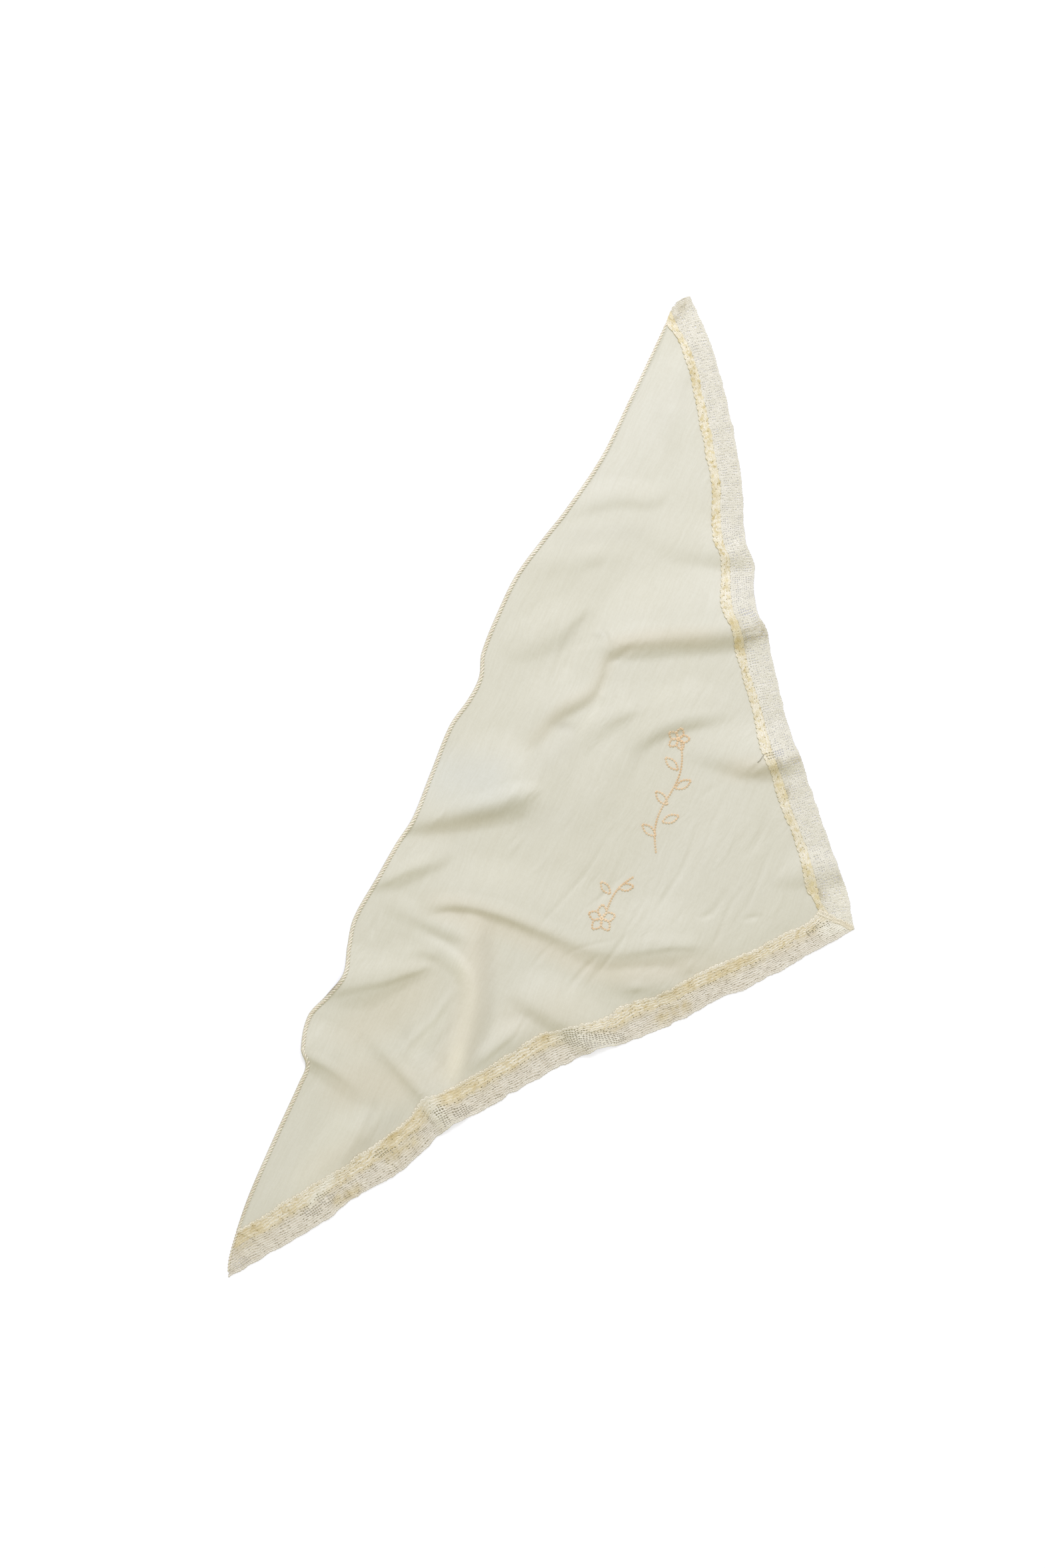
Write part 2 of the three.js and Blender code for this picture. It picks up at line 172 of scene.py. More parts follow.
# ---- Folds, on those of the solids: x, y, rise, steep, easy at the stations of each crest ----
FOLDS = [
    [[-54, 186, 0, 8, 30], [-40, 168, 3.6, 12, 36], [-20, 143, 7, 18, 50], [-1, 121, 8.5, 22, 58],
     [15, 102, 8, 24, 56], [27, 84, 0, 18, 44]],
    [[-104, 142, 0, 8, 24], [-93, 128, 2.4, 10, 32], [-82, 108, 3.2, 9, 40], [-75, 72, 3.5, 10, 46],
     [-71, 30, 3.5, 13, 50], [-69, -2, 3.8, 17, 50], [-60, -26, 4.6, 20, 46], [-42, -56, 4.4, 20, 40],
     [-24, -90, 0, 14, 30]],
    [[-182, 194, 0, 24, 24], [-173, 166, 4.6, 28, 30], [-168, 148, 4.6, 24, 30],
     [-158, 134, 4.2, 16, 26], [-145, 120, 3.4, 12, 22], [-132, 104, 0, 8, 14]],
    [[137, 98, 0, 12, 24], [150, 84, 5, 13, 40], [164, 67.5, 7.1, 18, 54],
     [179, 45.5, 7.8, 20, 58], [194, 20.5, 8.6, 21, 58], [210, -1, 8.8, 22, 50],
     [233, -27, 0, 20, 36]],
    [[28, 118, 0, 8, 18], [60, 112, 2, 10, 24], [82, 109, 3.5, 13, 30], [96, 99, 4, 13, 34],
     [110, 88, 3.4, 10, 34], [128, 88, 3, 9, 32], [146, 94, 3, 9, 24], [158, 108, 0, 6, 14]],
    [[60, 68, 0, 10, 18], [86, 67, 2.2, 12, 24], [106, 55, 2.6, 13, 26], [126, 32, 0, 12, 20]],
    [[74, 44, 0, 8, 18], [96, 35, 2.8, 12, 26], [116, 21, 4.2, 14, 32], [130, 3, 3.8, 13, 32],
     [144, -20, 0, 8, 20]],
    [[100, 4, 0, 12, 20], [106, -20, 2.4, 14, 28], [112, -44, 4.6, 16, 34], [120, -61, 6.8, 18, 36],
     [130, -76, 5.6, 17, 30], [141, -94, 0, 16, 24]],
    [[-106, 166, 0, 8, 12], [-105, 140, 2.2, 13, 16], [-104, 114, 2.6, 14, 16], [-104, 92, 2, 12, 14],
     [-104, 70, 0, 8, 10]],
    [[-144, 144, 0, 5, 10], [-134, 130, 1.4, 9, 12], [-127, 114, 1.4, 9, 12], [-124, 98, 0, 6, 10]],
    [[-222, 52, 0, 12, 14], [-190, 56, 3, 18, 18], [-155, 64, 4, 20, 18],
     [-125, 80, 4.6, 20, 18], [-100, 90, 3, 16, 14], [-80, 98, 0, 10, 10]],
    [[-214, 96, 0, 8, 12], [-186, 91, 1, 13, 16], [-158, 88, 1.4, 14, 16], [-130, 98, 1.5, 12, 14],
     [-112, 110, 0, 8, 10]],
    [[-230, 190, 0, 8, 20], [-237, 168, 5, 14, 30], [-239, 148, 4, 16, 32], [-243, 128, 2.4, 16, 28],
     [-254, 100, 0, 12, 20]],
    [[-200, 136, 0, 8, 14], [-210, 116, 1.4, 10, 20], [-217, 94, 2.2, 13, 24], [-226, 70, 3.6, 16, 26],
     [-236, 50, 4.6, 16, 24], [-250, 26, 0, 12, 18]],
    [[-208, 54, 0, 10, 12], [-184, 42, 2.5, 14, 18], [-160, 28, 3.5, 16, 18], [-142, 14, 0, 10, 12]],
    [[-126, 46, 0, 10, 20], [-128, 24, 4, 15, 30], [-130, -2, 5.4, 16, 34], [-136, -26, 5.4, 16, 30],
     [-144, -48, 0, 12, 20]],
    [[-320, 108, 0, 6, 20], [-302, 104, 1.6, 8, 28], [-278, 102, 2.8, 12, 30], [-254, 102, 0, 12, 24]],
    [[-102, 180, 0, 8, 14], [-87, 166, 3.4, 12, 22], [-71, 151, 3.8, 13, 26], [-57, 138, 2.4, 12, 20],
     [-42, 132, 0, 8, 14]],
    [[106, 160, 0, 10, 18], [124, 144, 2.4, 15, 24], [146, 128, 3.2, 18, 26], [174, 110, 0, 8, 18]],
    [[168, 176, 0, 14, 20], [192, 156, 1.8, 18, 26], [212, 132, 1.8, 18, 26], [222, 100, 0, 14, 20]],
    [[228, 162, 0, 6, 12], [247, 144, 1.6, 10, 18], [259, 126, 1.8, 10, 18], [267, 106, 1.6, 10, 16],
     [285, 98, 0, 6, 12]],
    [[240, 114, 0, 10, 18], [242, 90, 0.8, 15, 28], [246, 58, 2, 17, 30], [256, 32, 4.6, 18, 28],
     [270, 8, 0, 14, 20]],
    [[308, 102, 0, 8, 14], [336, 120, 1.8, 12, 20], [366, 126, 1.6, 11, 18], [394, 124, 0, 6, 10]],
    [[-10, 96, 0, 18, 12], [20, 94, 2.4, 30, 16], [50, 89, 2.4, 30, 18], [82, 78, 0, 20, 14]],
    [[4, 42, 0, 14, 14], [38, 50, 2, 26, 22], [70, 50, 1.8, 22, 22], [94, 40, 0, 14, 16]],
    [[-90, -18, 0, 10, 14], [-82, -38, 3.4, 16, 18], [-73, -58, 3.4, 16, 18], [-64, -84, 0, 12, 14]],
    [[36, -100, 0, 8, 12], [48, -118, 2, 13, 18], [60, -134, 4, 17, 20], [70, -150, 3.6, 15, 18],
     [80, -166, 0, 10, 14]],
]
UNION_POWER = 3
FOLD_SHARE = 0.88
CREST_STEPS = 20

# ---- Fine creases, laid over the folds: the same columns, and a rise below 0 is a furrow ----
CREASES = [
    # the steep edges of the main folds
    [[-241, 170, 0, 3, 8], [-241, 158, 0.9, 4, 9], [-242, 144, 0.7, 4, 9], [-245, 128, 0.4, 5, 9],
     [-248, 112, 0, 5, 9]],
    [[-194, 176, 0, 6, 16], [-181, 163, 1.1, 7, 18], [-170, 149, 1.4, 7, 18],
     [-161, 136, 1.5, 6, 18], [-152, 126, 1.5, 5, 16], [-143, 116, 1.3, 4.5, 12],
     [-134, 107, 0, 4, 8]],
    [[-102, 178, 0, 3, 8], [-90, 166, 0.8, 4, 9], [-79, 159, 0.9, 5, 9], [-68, 148, 0.7, 7, 10],
     [-58, 138, 0, 6, 10]],
    [[-44, 168, 0, 5, 12], [-26, 147, 0.6, 9, 14], [-6, 122, 1.5, 12, 14], [10, 106, 1.8, 12, 14],
     [22, 93, 1, 8, 8], [26, 87, 0, 5, 6]],
    [[-103, 131, 0, 4, 10], [-92, 121, 0.9, 5, 12], [-84, 107, 1.1, 5, 12], [-79, 90, 1.1, 5, 12],
     [-76, 70, 1.2, 5, 12], [-75, 48, 0.9, 5, 12], [-73, 26, 0.6, 6, 12], [-71, 4, 0.4, 7, 12],
     [-65, -18, 0.5, 7, 12], [-54, -36, 1, 6, 12], [-44, -52, 1.2, 5, 12], [-37, -66, 1, 5, 10],
     [-32, -78, 0, 5, 8]],
    [[56, 112, 0, 6, 14], [72, 108, 0.4, 7, 16], [84, 102, 1, 7, 16], [95, 94, 1.3, 7, 16],
     [104, 87, 1, 6, 14], [116, 84, 0.7, 4, 12], [132, 86, 0.9, 4, 12], [145, 90, 1.3, 3.5, 10],
     [153, 95, 1.2, 3, 8], [156, 103, 0, 3, 6]],
    [[143, 86, 0, 4, 8], [154, 81, 1.4, 7, 16], [163, 69, 1.1, 9, 16], [173, 50, 0.9, 10, 16],
     [185, 25, 1, 10, 16], [195, 7, 1.3, 9, 16], [206, -13, 0, 8, 12]],
    [[66, 64, 0, 6, 10], [82, 69, 0.6, 7, 12], [96, 64, 0.8, 7, 12], [108, 52, 0.9, 6, 12],
     [119, 40, 0, 5, 10]],
    [[60, 33, 0, 5, 12], [80, 33, 0.5, 7, 14], [96, 29, 0.8, 7, 14], [108, 19, 1, 7, 14],
     [118, 8, 1, 7, 14], [127, -6, 0.8, 6, 12], [137, -20, 0, 5, 10]],
    [[99, -44, 0, 5, 8], [107, -53, 1.1, 6, 9], [116, -62, 1.6, 7, 10], [123, -73, 1, 7, 10],
     [130, -84, 0, 5, 8]],
    # round the sash and the left of the cloth
    [[-143, 138, 0, 5, 8], [-137, 129, 0.7, 7, 8], [-131, 120, 0.9, 7, 8], [-129, 111, 0.7, 6, 7],
     [-130, 104, 0, 4, 6]],
    [[-110, 140, 0, 6, 8], [-107, 122, 0.6, 8, 8], [-106, 103, 0.7, 8, 8], [-107, 86, 0, 6, 7]],
    [[-166, 60, 0, 8, 12], [-148, 66, 1, 8, 12], [-132, 77, 1.8, 8, 12], [-124, 92, 2.2, 8, 12],
     [-121, 108, 1.8, 8, 12], [-119, 128, 1, 8, 12], [-115, 148, 0, 6, 10]],
    [[-209, 118, 0, 4, 9], [-216, 105, 0.6, 5, 9], [-222, 91, 0.8, 5, 9], [-228, 77, 0.8, 4, 9],
     [-234, 64, 0, 4, 8]],
    [[-198, 46, 0, 4, 10], [-183, 40, 1, 4, 10], [-168, 33, 1.4, 4, 10], [-154, 26, 1.1, 4, 10],
     [-138, 18, 0, 4, 8]],
    [[-90, -36, 0, 4, 6], [-84, -44, 1.1, 4, 7], [-78, -54, 0, 4, 6]],
    [[-62, -62, 0, 6, 8], [-52, -74, 0.9, 7, 8], [-42, -88, 0, 6, 8]],
    [[-305, 105, 0, 3, 8], [-290, 104, 0.9, 3, 9], [-272, 103.5, 1, 3, 9], [-254, 104, 0, 3, 8]],
    # round the hook right of the middle
    [[72, 100, 0, 6, 6], [77, 92, -1, 6, 6], [79, 82, 0, 5, 5]],
    [[102, 75, 0, 4, 5], [112, 76, 1.4, 4, 5], [124, 79, 0, 3, 4]],
    [[137, 81, 0, 3, 4], [143, 77, -1.2, 3, 4], [151, 73, -1, 3, 4], [158, 68, 0, 3, 4]],
    [[136, 83, 0, 3, 4], [145, 85, 1.4, 3, 4], [154, 88, 1, 3, 4], [160, 93, 0, 3, 4]],
    [[120, 122, 0, 8, 8], [140, 119, -1, 9, 8], [156, 115, -1.2, 5, 5], [169, 112, 0, 3, 3]],
    [[172, 140, 0, 8, 10], [190, 137, 0.7, 9, 12], [204, 130, 0.8, 9, 12], [214, 118, 0, 7, 10]],
]
# Fine lines pressed into the cloth: how far up, how wide to each side, and x, y at points along.
LINES = [
    (-1.3, 3, -137, 159, -128, 161, -117, 163),
    (0.9, 3, -166, 145, -148, 151, -128, 157, -112, 162),
    (0.7, 3, -224, 131, -212, 136, -198, 136),
    (-0.4, 4, -206, 88, -188, 84, -168, 83, -148, 83),
    (-0.5, 4, -204, 79, -190, 77, -174, 73, -156, 70),
    (0.9, 4.5, -216, 101, -196, 97, -176, 90, -158, 86, -140, 83),
    (-1.2, 3, -163, 27, -150, 24, -134, 22),
    (-0.9, 3.5, -186, 46, -170, 44, -150, 45),
    (0.6, 3, -276, 147, -262, 148, -246, 148),
    (-0.7, 3, -274, 155, -262, 153, -248, 156),
    (-0.8, 3, -280, 92, -264, 91, -246, 93),
    (-0.8, 4, -268, 98, -258, 100, -248, 104),
    (0.8, 3, -40, 154, -28, 151, -16, 147),
    (0.8, 3, 2, 110, 12, 107, 22, 105),
    (-0.6, 2.4, -80, 46, -62, 41, -42, 35, -20, 29, 2, 26, 24, 26),
    (-0.5, 2, -52, 22, -34, 12, -10, 2, 12, -4),
    (0.5, 2, -66, -12, -46, -20, -28, -24, -6, -22),
    (-0.5, 2, -92, 20, -76, 10, -64, -4, -56, -14),
    (0.5, 2.2, 20, -56, 34, -62, 52, -64, 68, -60),
    (-0.5, 2, -34, -46, -16, -52, 2, -52),
    (-0.5, 2.2, 60, -24, 78, -30, 92, -40),
    (0.5, 2, 4, -112, 20, -118, 34, -117),
    (0.5, 2, -64, -46, -50, -40, -38, -38),
    (-0.5, 2.4, -6, 60, 16, 56, 34, 60),
    (0.4, 2.4, -46, 72, -30, 64, -12, 60),
    (-1.1, 3, -118, 5, -98, 1, -84, -3, -70, -8),
    (-1, 3, -104, -8, -80, -14, -52, -19, -22, -21),
    (-0.7, 3, -112, 38, -92, 33, -76, 27),
    (-1, 3.5, -44, 12, -24, 8, -6, 7, 12, 8),
    (0.8, 3, -36, 90, -24, 88, -12, 86),
    (0.9, 4, 98, 120, 114, 122, 130, 123, 146, 123),
    (-0.7, 3, 96, 111, 120, 112, 146, 111),
    (-1.2, 2.5, 102, -53, 110, -55, 120, -60),
    (-0.8, 3, -24, -33, -4, -36, 18, -38, 40, -36, 64, -32),
    (-0.8, 2.6, -44, -82, -20, -85, 6, -84, 32, -89),
    (-0.7, 2.6, -12, -92, 14, -96, 40, -95, 66, -94),
    (-0.8, 4, -14, -62, -8, -72, 6, -76, 20, -75),
    (-1, 3, -2, -96, 4, -103, 9, -111),
    (0.6, 3, -30, -28, -6, -31, 20, -28),
    (-0.6, 3, 30, -47, 60, -44, 96, -45),
    (-0.7, 3, 36, -104, 50, -108, 62, -110),
    (-0.8, 4, 40, -78, 60, -82, 84, -80),
]
# Soft tones, laid where the photo's cloth is darker or lighter than its relief alone makes
# it: the share it is darker by, how wide to each side, and x, y at points along.
# Painted shade, and painted light where the share is below 0, on the cloth and the hem's stitches. The
# strongest stroke, along the hem at x -199 to -171, is a painted shadow under the hem's edge.
SHADING_STROKES = [
    (0.075, 11, -200, 47, -184, 49, -162, 51, -142, 57, -120, 67, -100, 78, -76, 84),
    (-0.09, 11, -218, 56, -196, 59, -168, 65, -145, 71, -130, 84, -122, 104),
    (0.015, 4, -214, 88, -194, 84, -172, 82, -146, 81),
    (0.02, 4, -210, 80, -194, 77, -176, 74, -156, 71),
    (-0.06, 8, -212, 94, -192, 89, -172, 84, -150, 84),
    (0.015, 12, -70, 172, -58, 162, -50, 150, -42, 136),
    (0.04, 6, -208, 106, -192, 103, -176, 102),
    (0.05, 5, -276, 99, -262, 101, -246, 102),
    (0.06, 10, -312, 98, -284, 94, -256, 84, -236, 78),
    (-0.06, 20, -360, 142, -330, 128, -305, 122, -280, 118, -256, 118),
    (0.05, 9, -28, 154, -16, 130, -4, 110, 14, 95),
    (0.035, 16, 28, 104, 44, 96, 62, 86, 80, 76),
    (0.02, 22, -20, 100, -4, 84, 10, 60, 20, 36),
    (0.09, 6, 74, 106, 76, 94, 78, 80),
    (-0.04, 5, 70, 78, 84, 79, 104, 75, 124, 78),
    (0.03, 8, 60, 32, 84, 30, 104, 22, 120, 4),
    (0.015, 9, 104, 6, 104, -24, 104, -58),
    (0.04, 8, 96, -50, 104, -62, 106, -76),
    (0.045, 12, 198, 172, 216, 146, 232, 118, 244, 90),
    (0.04, 26, 8, 176, 16, 156, 24, 134, 30, 112),
    (-0.06, 7, -346, 114, -328, 108, -308, 105),
    (-0.09, 10, -220, 54, -206, 56, -192, 59, -178, 63),
    (-0.09, 2.6, -76, 174.5, -58, 172, -38, 169, -18, 170.5),
    (0.07, 2.6, 192, 173, 215, 167, 240, 161.5),
    (0.07, 2.6, 355, 155, 385, 154.5),
    (0.08, 2.6, -418, 152, -395, 157, -360, 160.5, -335, 161.5),
    (-0.03, 22, -62, 122, -48, 92, -36, 62),
    (0.45, 2.2, -199, 175.5, -190, 172, -181, 169, -171, 167),
    (0.08, 5, 150, 104, 154, 97, 156, 88),
    (0.04, 7, 110, 128, 132, 122, 152, 116, 170, 112),
    (0.045, 14, -90, -24, -78, -42, -64, -60, -46, -88),
    (0.03, 9, -152, 40, -140, 24, -138, 4),
    (-0.03, 9, -100, 172, -84, 160, -68, 150, -50, 140),
]
# Painted warm shade: the cloth turns yellower along the folds' shaded flanks; how much (below 0, less
# yellow), how wide, and x, y at points along.
FOLD_WARMTH_STROKES = [
    (0.8, 28, -262, 150, -250, 130, -238, 112, -230, 90, -222, 64),
    (0.6, 28, -232, 146, -208, 138, -186, 126, -160, 112, -124, 100),
    (0.8, 22, -224, 56, -206, 60, -176, 62, -140, 70, -104, 82, -84, 96),
    (0.8, 18, -98, 140, -88, 110, -83, 60, -83, 0, -76, -30, -54, -70, -30, -104),
    (0.4, 28, -160, 56, -146, 30, -126, 0, -104, -30),
    (0.5, 10, 44, 114, 66, 107, 90, 98, 112, 84, 136, 84, 146, 86),
    (0.9, 13, 144, 92, 154, 78, 168, 58, 184, 26, 200, -4),
    (0.4, 13, -56, 168, -36, 148, -10, 115, 10, 96),
    (-0.8, 34, -6, 190, 2, 160, 12, 126, 22, 92),
    (0.8, 15, 96, -24, 104, -44, 114, -64, 124, -80),
    (0.5, 18, -340, 134, -310, 116, -284, 98, -262, 88),
]

# ---- The height of the cloth over the table, on a grid ----
GRID_STEP = 0.8
GRID_X = np.arange(LEFT_X - 10, RIGHT_X + 10 + GRID_STEP, GRID_STEP)
GRID_Y = np.arange(CORNER_Y - 10, TOP_Y + 10 + GRID_STEP, GRID_STEP)
FOLD_BLUR = 1.3
FINE_BLUR = 0.8
CROWN = 0.9  # how far the cloth stands clear of the table between its folds
CROWN_REACH = 22.0
WRINKLE = 0.07
NOISE_MARGIN = 200.0


def crest_chain(rows):
    """The stations of a crest, filled in: a Catmull-Rom curve in plan, the rest evenly."""
    stations = np.array(rows, float)
    padded = np.vstack([2 * stations[0] - stations[1], stations, 2 * stations[-1] - stations[-2]])
    spans = len(stations) - 1
    u = np.linspace(0, spans, spans * CREST_STEPS + 1)
    i = np.minimum(u.astype(int), spans - 1)
    t = (u - i)[:, None]
    p0, p1, p2, p3 = (padded[i + k] for k in range(4))
    curve = 0.5 * (
        2 * p1 + (p2 - p0) * t + (2 * p0 - 5 * p1 + 4 * p2 - p3) * t**2
        + (p1 * 3 - p0 - 3 * p2 + p3) * t**3
    )
    even = p1 + (p2 - p1) * t
    return np.hstack([curve[:, :2], even[:, 2:]])


def ridge(rows):
    """The part of the grid that a fold covers, and its height there."""
    chain = crest_chain(rows)
    reach = chain[:, 3:].max()
    cols, lines = (
        np.flatnonzero((grid > places.min() - reach) & (grid < places.max() + reach))
        for grid, places in ((GRID_X, chain[:, 0]), (GRID_Y, chain[:, 1]))
    )
    x, y = np.meshgrid(GRID_X[cols], GRID_Y[lines])
    nearest = np.full(x.shape, np.inf)
    height = np.zeros(x.shape)
    for a, b in zip(chain[:-1], chain[1:]):
        along = b[:2] - a[:2]
        off_x, off_y = x - a[0], y - a[1]
        t = np.clip((off_x * along[0] + off_y * along[1]) / (along @ along), 0, 1)
        distance = np.hypot(off_x - t * along[0], off_y - t * along[1])
        on_right = along[0] * off_y - along[1] * off_x < 0
        rise, steep, easy = (a[k] + (b[k] - a[k]) * t for k in (2, 3, 4))
        share = np.minimum(distance / np.where(on_right, steep, easy), 1)
        height = np.where(distance < nearest, rise * (1 - share**2) ** 2, height)
        nearest = np.minimum(nearest, distance)
    return np.ix_(lines, cols), height


def blurred(grid, sigma):
    """A Gaussian blur, sigma in millimetres."""
    reach = int(3 * sigma / GRID_STEP) + 1
    weights = np.exp(-((np.arange(-reach, reach + 1) * GRID_STEP / sigma) ** 2) / 2)
    weights /= weights.sum()
    for axis in (0, 1):
        edge = [(reach, reach) if a == axis else (0, 0) for a in (0, 1)]
        wide = np.pad(grid, edge, mode="edge")
        length = grid.shape[axis]
        grid = sum(
            w * np.take(wide, range(k, k + length), axis=axis) for k, w in enumerate(weights)
        )
    return grid


def between(table, v, u, s, t):
    """A table's value a share s past its row v and a share t past its column u."""
    low, high = (table[v + k, u] * (1 - t) + table[v + k, u + 1] * t for k in (0, 1))
    return low * (1 - s) + high * s


def soft_noise(x, y, cell_x, cell_y, seed):
    """Smooth noise from -1 to 1, whose bumps are about cell_x by cell_y."""
    across = int((RIGHT_X - LEFT_X + 4 * NOISE_MARGIN) / cell_x)
    down = int((TOP_Y - CORNER_Y + 4 * NOISE_MARGIN) / cell_y)
    table = np.random.default_rng(seed).uniform(-1, 1, (down, across))
    u = np.clip((np.asarray(x) - LEFT_X + 2 * NOISE_MARGIN) / cell_x, 0, across - 2)
    v = np.clip((np.asarray(y) - CORNER_Y + 2 * NOISE_MARGIN) / cell_y, 0, down - 2)
    i, j = v.astype(int), u.astype(int)
    return between(table, i, j, eased(v - i), eased(u - j))


def value_at(x, y, grid):
    """A grid's value at plan points."""
    u = np.clip((np.asarray(x, float) - GRID_X[0]) / GRID_STEP, 0, len(GRID_X) - 1.001)
    v = np.clip((np.asarray(y, float) - GRID_Y[0]) / GRID_STEP, 0, len(GRID_Y) - 1.001)
    i, j = v.astype(int), u.astype(int)
    return between(grid, i, j, v - i, u - j)


def evenly(size, width, *numbers):
    """The rows of a crease that is as wide all along and fades at its ends."""
    points = np.reshape(numbers, (-1, 2))
    sizes = [0] + [size] * (len(points) - 2) + [0]
    return [[*point, here, width, width] for point, here in zip(points, sizes)]


def with_ridges(grid, crests, power=1):
    """A grid with the height of each crest added, raised to a power."""
    for rows in crests:
        place, height = ridge(rows)
        grid[place] += height**power
    return grid


def painted(strokes):
    """Soft strokes summed on the grid."""
    empty = np.zeros((len(GRID_Y), len(GRID_X)))
    return blurred(with_ridges(empty, [evenly(*stroke) for stroke in strokes]), FINE_BLUR)


def make_relief():
    """The heights of the folds, the low crown between them, the creases and the wrinkles."""
    x, y = np.meshgrid(GRID_X, GRID_Y)
    folds = with_ridges(np.zeros(x.shape), FOLDS, UNION_POWER) ** (1 / UNION_POWER)
    inside = np.minimum(hem_line(x) - y, (y - cloth_edge(x)) * 0.8)
    inside = eased(np.clip(inside / CROWN_REACH, 0, 1))
    relief = FOLD_SHARE * blurred(folds, FOLD_BLUR)
    relief += inside * CROWN * (1 + 0.55 * soft_noise(x, y, 46, 24, 3))
    relief = with_ridges(relief, CREASES + [evenly(*line) for line in LINES])
    wrinkle = soft_noise(x, y, 34, 4.5, 11) + 0.6 * soft_noise(x + 0.5 * y, y, 22, 3.1, 12)
    relief += WRINKLE * wrinkle * (0.35 + 0.65 * inside)
    above_table = 0.5 * (relief + np.sqrt(relief**2 + 0.1**2))
    return blurred(above_table, FINE_BLUR)


def lowest_near(grid, reach):
    """The lowest value within so many steps of the grid each way."""
    for axis in (0, 1):
        grid = np.min([np.roll(grid, shift, axis) for shift in range(-reach, reach + 1)], axis=0)
    return grid


RELIEF = make_relief()
UNDERSIDE = lowest_near(RELIEF, 2)
SHADING_GRID = painted(SHADING_STROKES)
FOLD_WARMTH_GRID = painted(FOLD_WARMTH_STROKES)


def height_at(x, y):
    """The height over plan points of the cloth's underside."""
    return FLOOR_GAP + value_at(x, y, RELIEF)


# ---- Meshes from arrays ----
def mesh_object(name, points, faces, *materials):
    """A smooth-shaded object from points in millimetres. faces maps a material's number to arrays."""
    mesh = bpy.data.meshes.new(name)
    mesh.vertices.add(len(points))
    mesh.vertices.foreach_set("co", (np.asarray(points) * MM).astype(np.float32).ravel())
    arrays = [(slot, f) for slot, group in faces.items() for f in group]
    sizes = np.concatenate([np.full(len(f), f.shape[1]) for _, f in arrays])
    slots = np.concatenate([np.full(len(f), slot) for slot, f in arrays])
    loops = np.concatenate([f.ravel() for _, f in arrays]).astype(np.int32)
    starts = np.r_[0, np.cumsum(sizes)[:-1]].astype(np.int32)
    mesh.loops.add(len(loops))
    mesh.loops.foreach_set("vertex_index", loops)
    mesh.polygons.add(len(sizes))
    mesh.polygons.foreach_set("loop_start", starts)
    mesh.polygons.foreach_set("use_smooth", np.ones(len(sizes), bool))
    mesh.polygons.foreach_set("material_index", slots.astype(np.int32))
    mesh.update(calc_edges=True)
    mesh.validate()
    for material in materials:
        mesh.materials.append(material)
    return linked(bpy.data.objects.new(name, mesh))


def linked(item):
    bpy.context.scene.collection.objects.link(item)
    return item


def set_attribute(piece, name, values, kind="FLOAT", field="value"):
    attribute = piece.data.attributes.new(name, kind, "POINT")
    attribute.data.foreach_set(field, values.astype(np.float32).ravel())


def tubes(x, y, z, width, height, sides=5):
    """Closed threads of a width and a height. x, y and z are arrays of threads and their points."""
    paths = np.stack([x, y, z], -1)
    threads, count, _ = paths.shape
    along = np.gradient(paths, axis=1)
    along /= np.linalg.norm(along, axis=2, keepdims=True)
    side = np.cross(along, UP)
    side /= np.linalg.norm(side, axis=2, keepdims=True)
    rise = np.cross(side, along)
    angle = 2 * math.pi * np.arange(sides) / sides + math.pi / 2
    ring = (
        side[:, :, None] * np.cos(angle)[:, None] * (width / 2)
        + rise[:, :, None] * np.sin(angle)[:, None] * (height / 2)
    )
    index = np.arange(threads * count * sides).reshape(threads, count, sides)
    here, there = index[:, :-1], index[:, 1:]
    quads = np.stack([here, there, np.roll(there, -1, 2), np.roll(here, -1, 2)], -1)
    caps = [index[:, 0], index[:, -1, ::-1]]
    return (paths[:, :, None] + ring).reshape(-1, 3), [quads.reshape(-1, 4), *caps]


def joined(parts):
    """Several (material number, points, faces) as points and faces by material."""
    points, faces, start = [], {}, 0
    for slot, part_points, part_faces in parts:
        points.append(part_points)
        faces.setdefault(slot, []).extend(f + start for f in part_faces)
        start += len(part_points)
    return np.vstack(points), faces


# ---- Materials ----
BEND_BUMPS = 18.0
FIBRE_HEIGHT = 0.00009
THREAD_BUMPS = 900
FLUFF_HEIGHT = 0.0001
KNOT_HEIGHT = 0.0003
STRAND_HEIGHT = 0.00024
# Bands a metre of the wave texture, whose own unit holds 20 / (2 pi) of them.
KNOT_BANDS = 1000 / 0.98 * 2 * math.pi / 20
WHITE_THREAD = ((0.88, 0.84, 0.71), (0.96, 0.93, 0.82))


def plug(tree, node, inputs):
    """Gives a node its inputs: numbers and colours, or what comes out of other nodes."""
    for name, value in inputs.items():
        if isinstance(value, bpy.types.NodeSocket):
            tree.links.new(value, node.inputs[name])
        else:
            node.inputs[name].default_value = value


def add(tree, kind, inputs, output=0, **settings):
    """What comes out of a new node."""
    node = tree.nodes.new("ShaderNode" + kind)
    for name, value in settings.items():
        setattr(node, name, value)
    plug(tree, node, inputs)
    return node.outputs[output]


def new_material(name, roughness, gloss=0.2):
    material = bpy.data.materials.new(name)
    material.use_nodes = True
    tree = material.node_tree
    shader = tree.nodes["Principled BSDF"]
    plug(tree, shader, {"Roughness": roughness, "Specular IOR Level": gloss})
    return material, tree, shader


def calculated(tree, operation, *values):
    return add(tree, "Math", dict(enumerate(values)), operation=operation)


def mixed(tree, first, second, share, blend="MIX"):
    inputs = {"Factor": share, "A": first, "B": second}
    return add(tree, "Mix", inputs, "Result", data_type="RGBA", blend_type=blend)


def multiplied(tree, first, second, share=1.0):
    return mixed(tree, first, second, share, "MULTIPLY")


def attribute(tree, name, output="Fac"):
    return add(tree, "Attribute", {}, output, attribute_name=name)


def noise_at(tree, place, scale, detail, roughness):
    place = add(tree, "Mapping", {"Vector": place, "Scale": scale})
    inputs = {"Vector": place, "Scale": 1.0, "Detail": detail, "Roughness": roughness}
    return add(tree, "TexNoise", inputs)


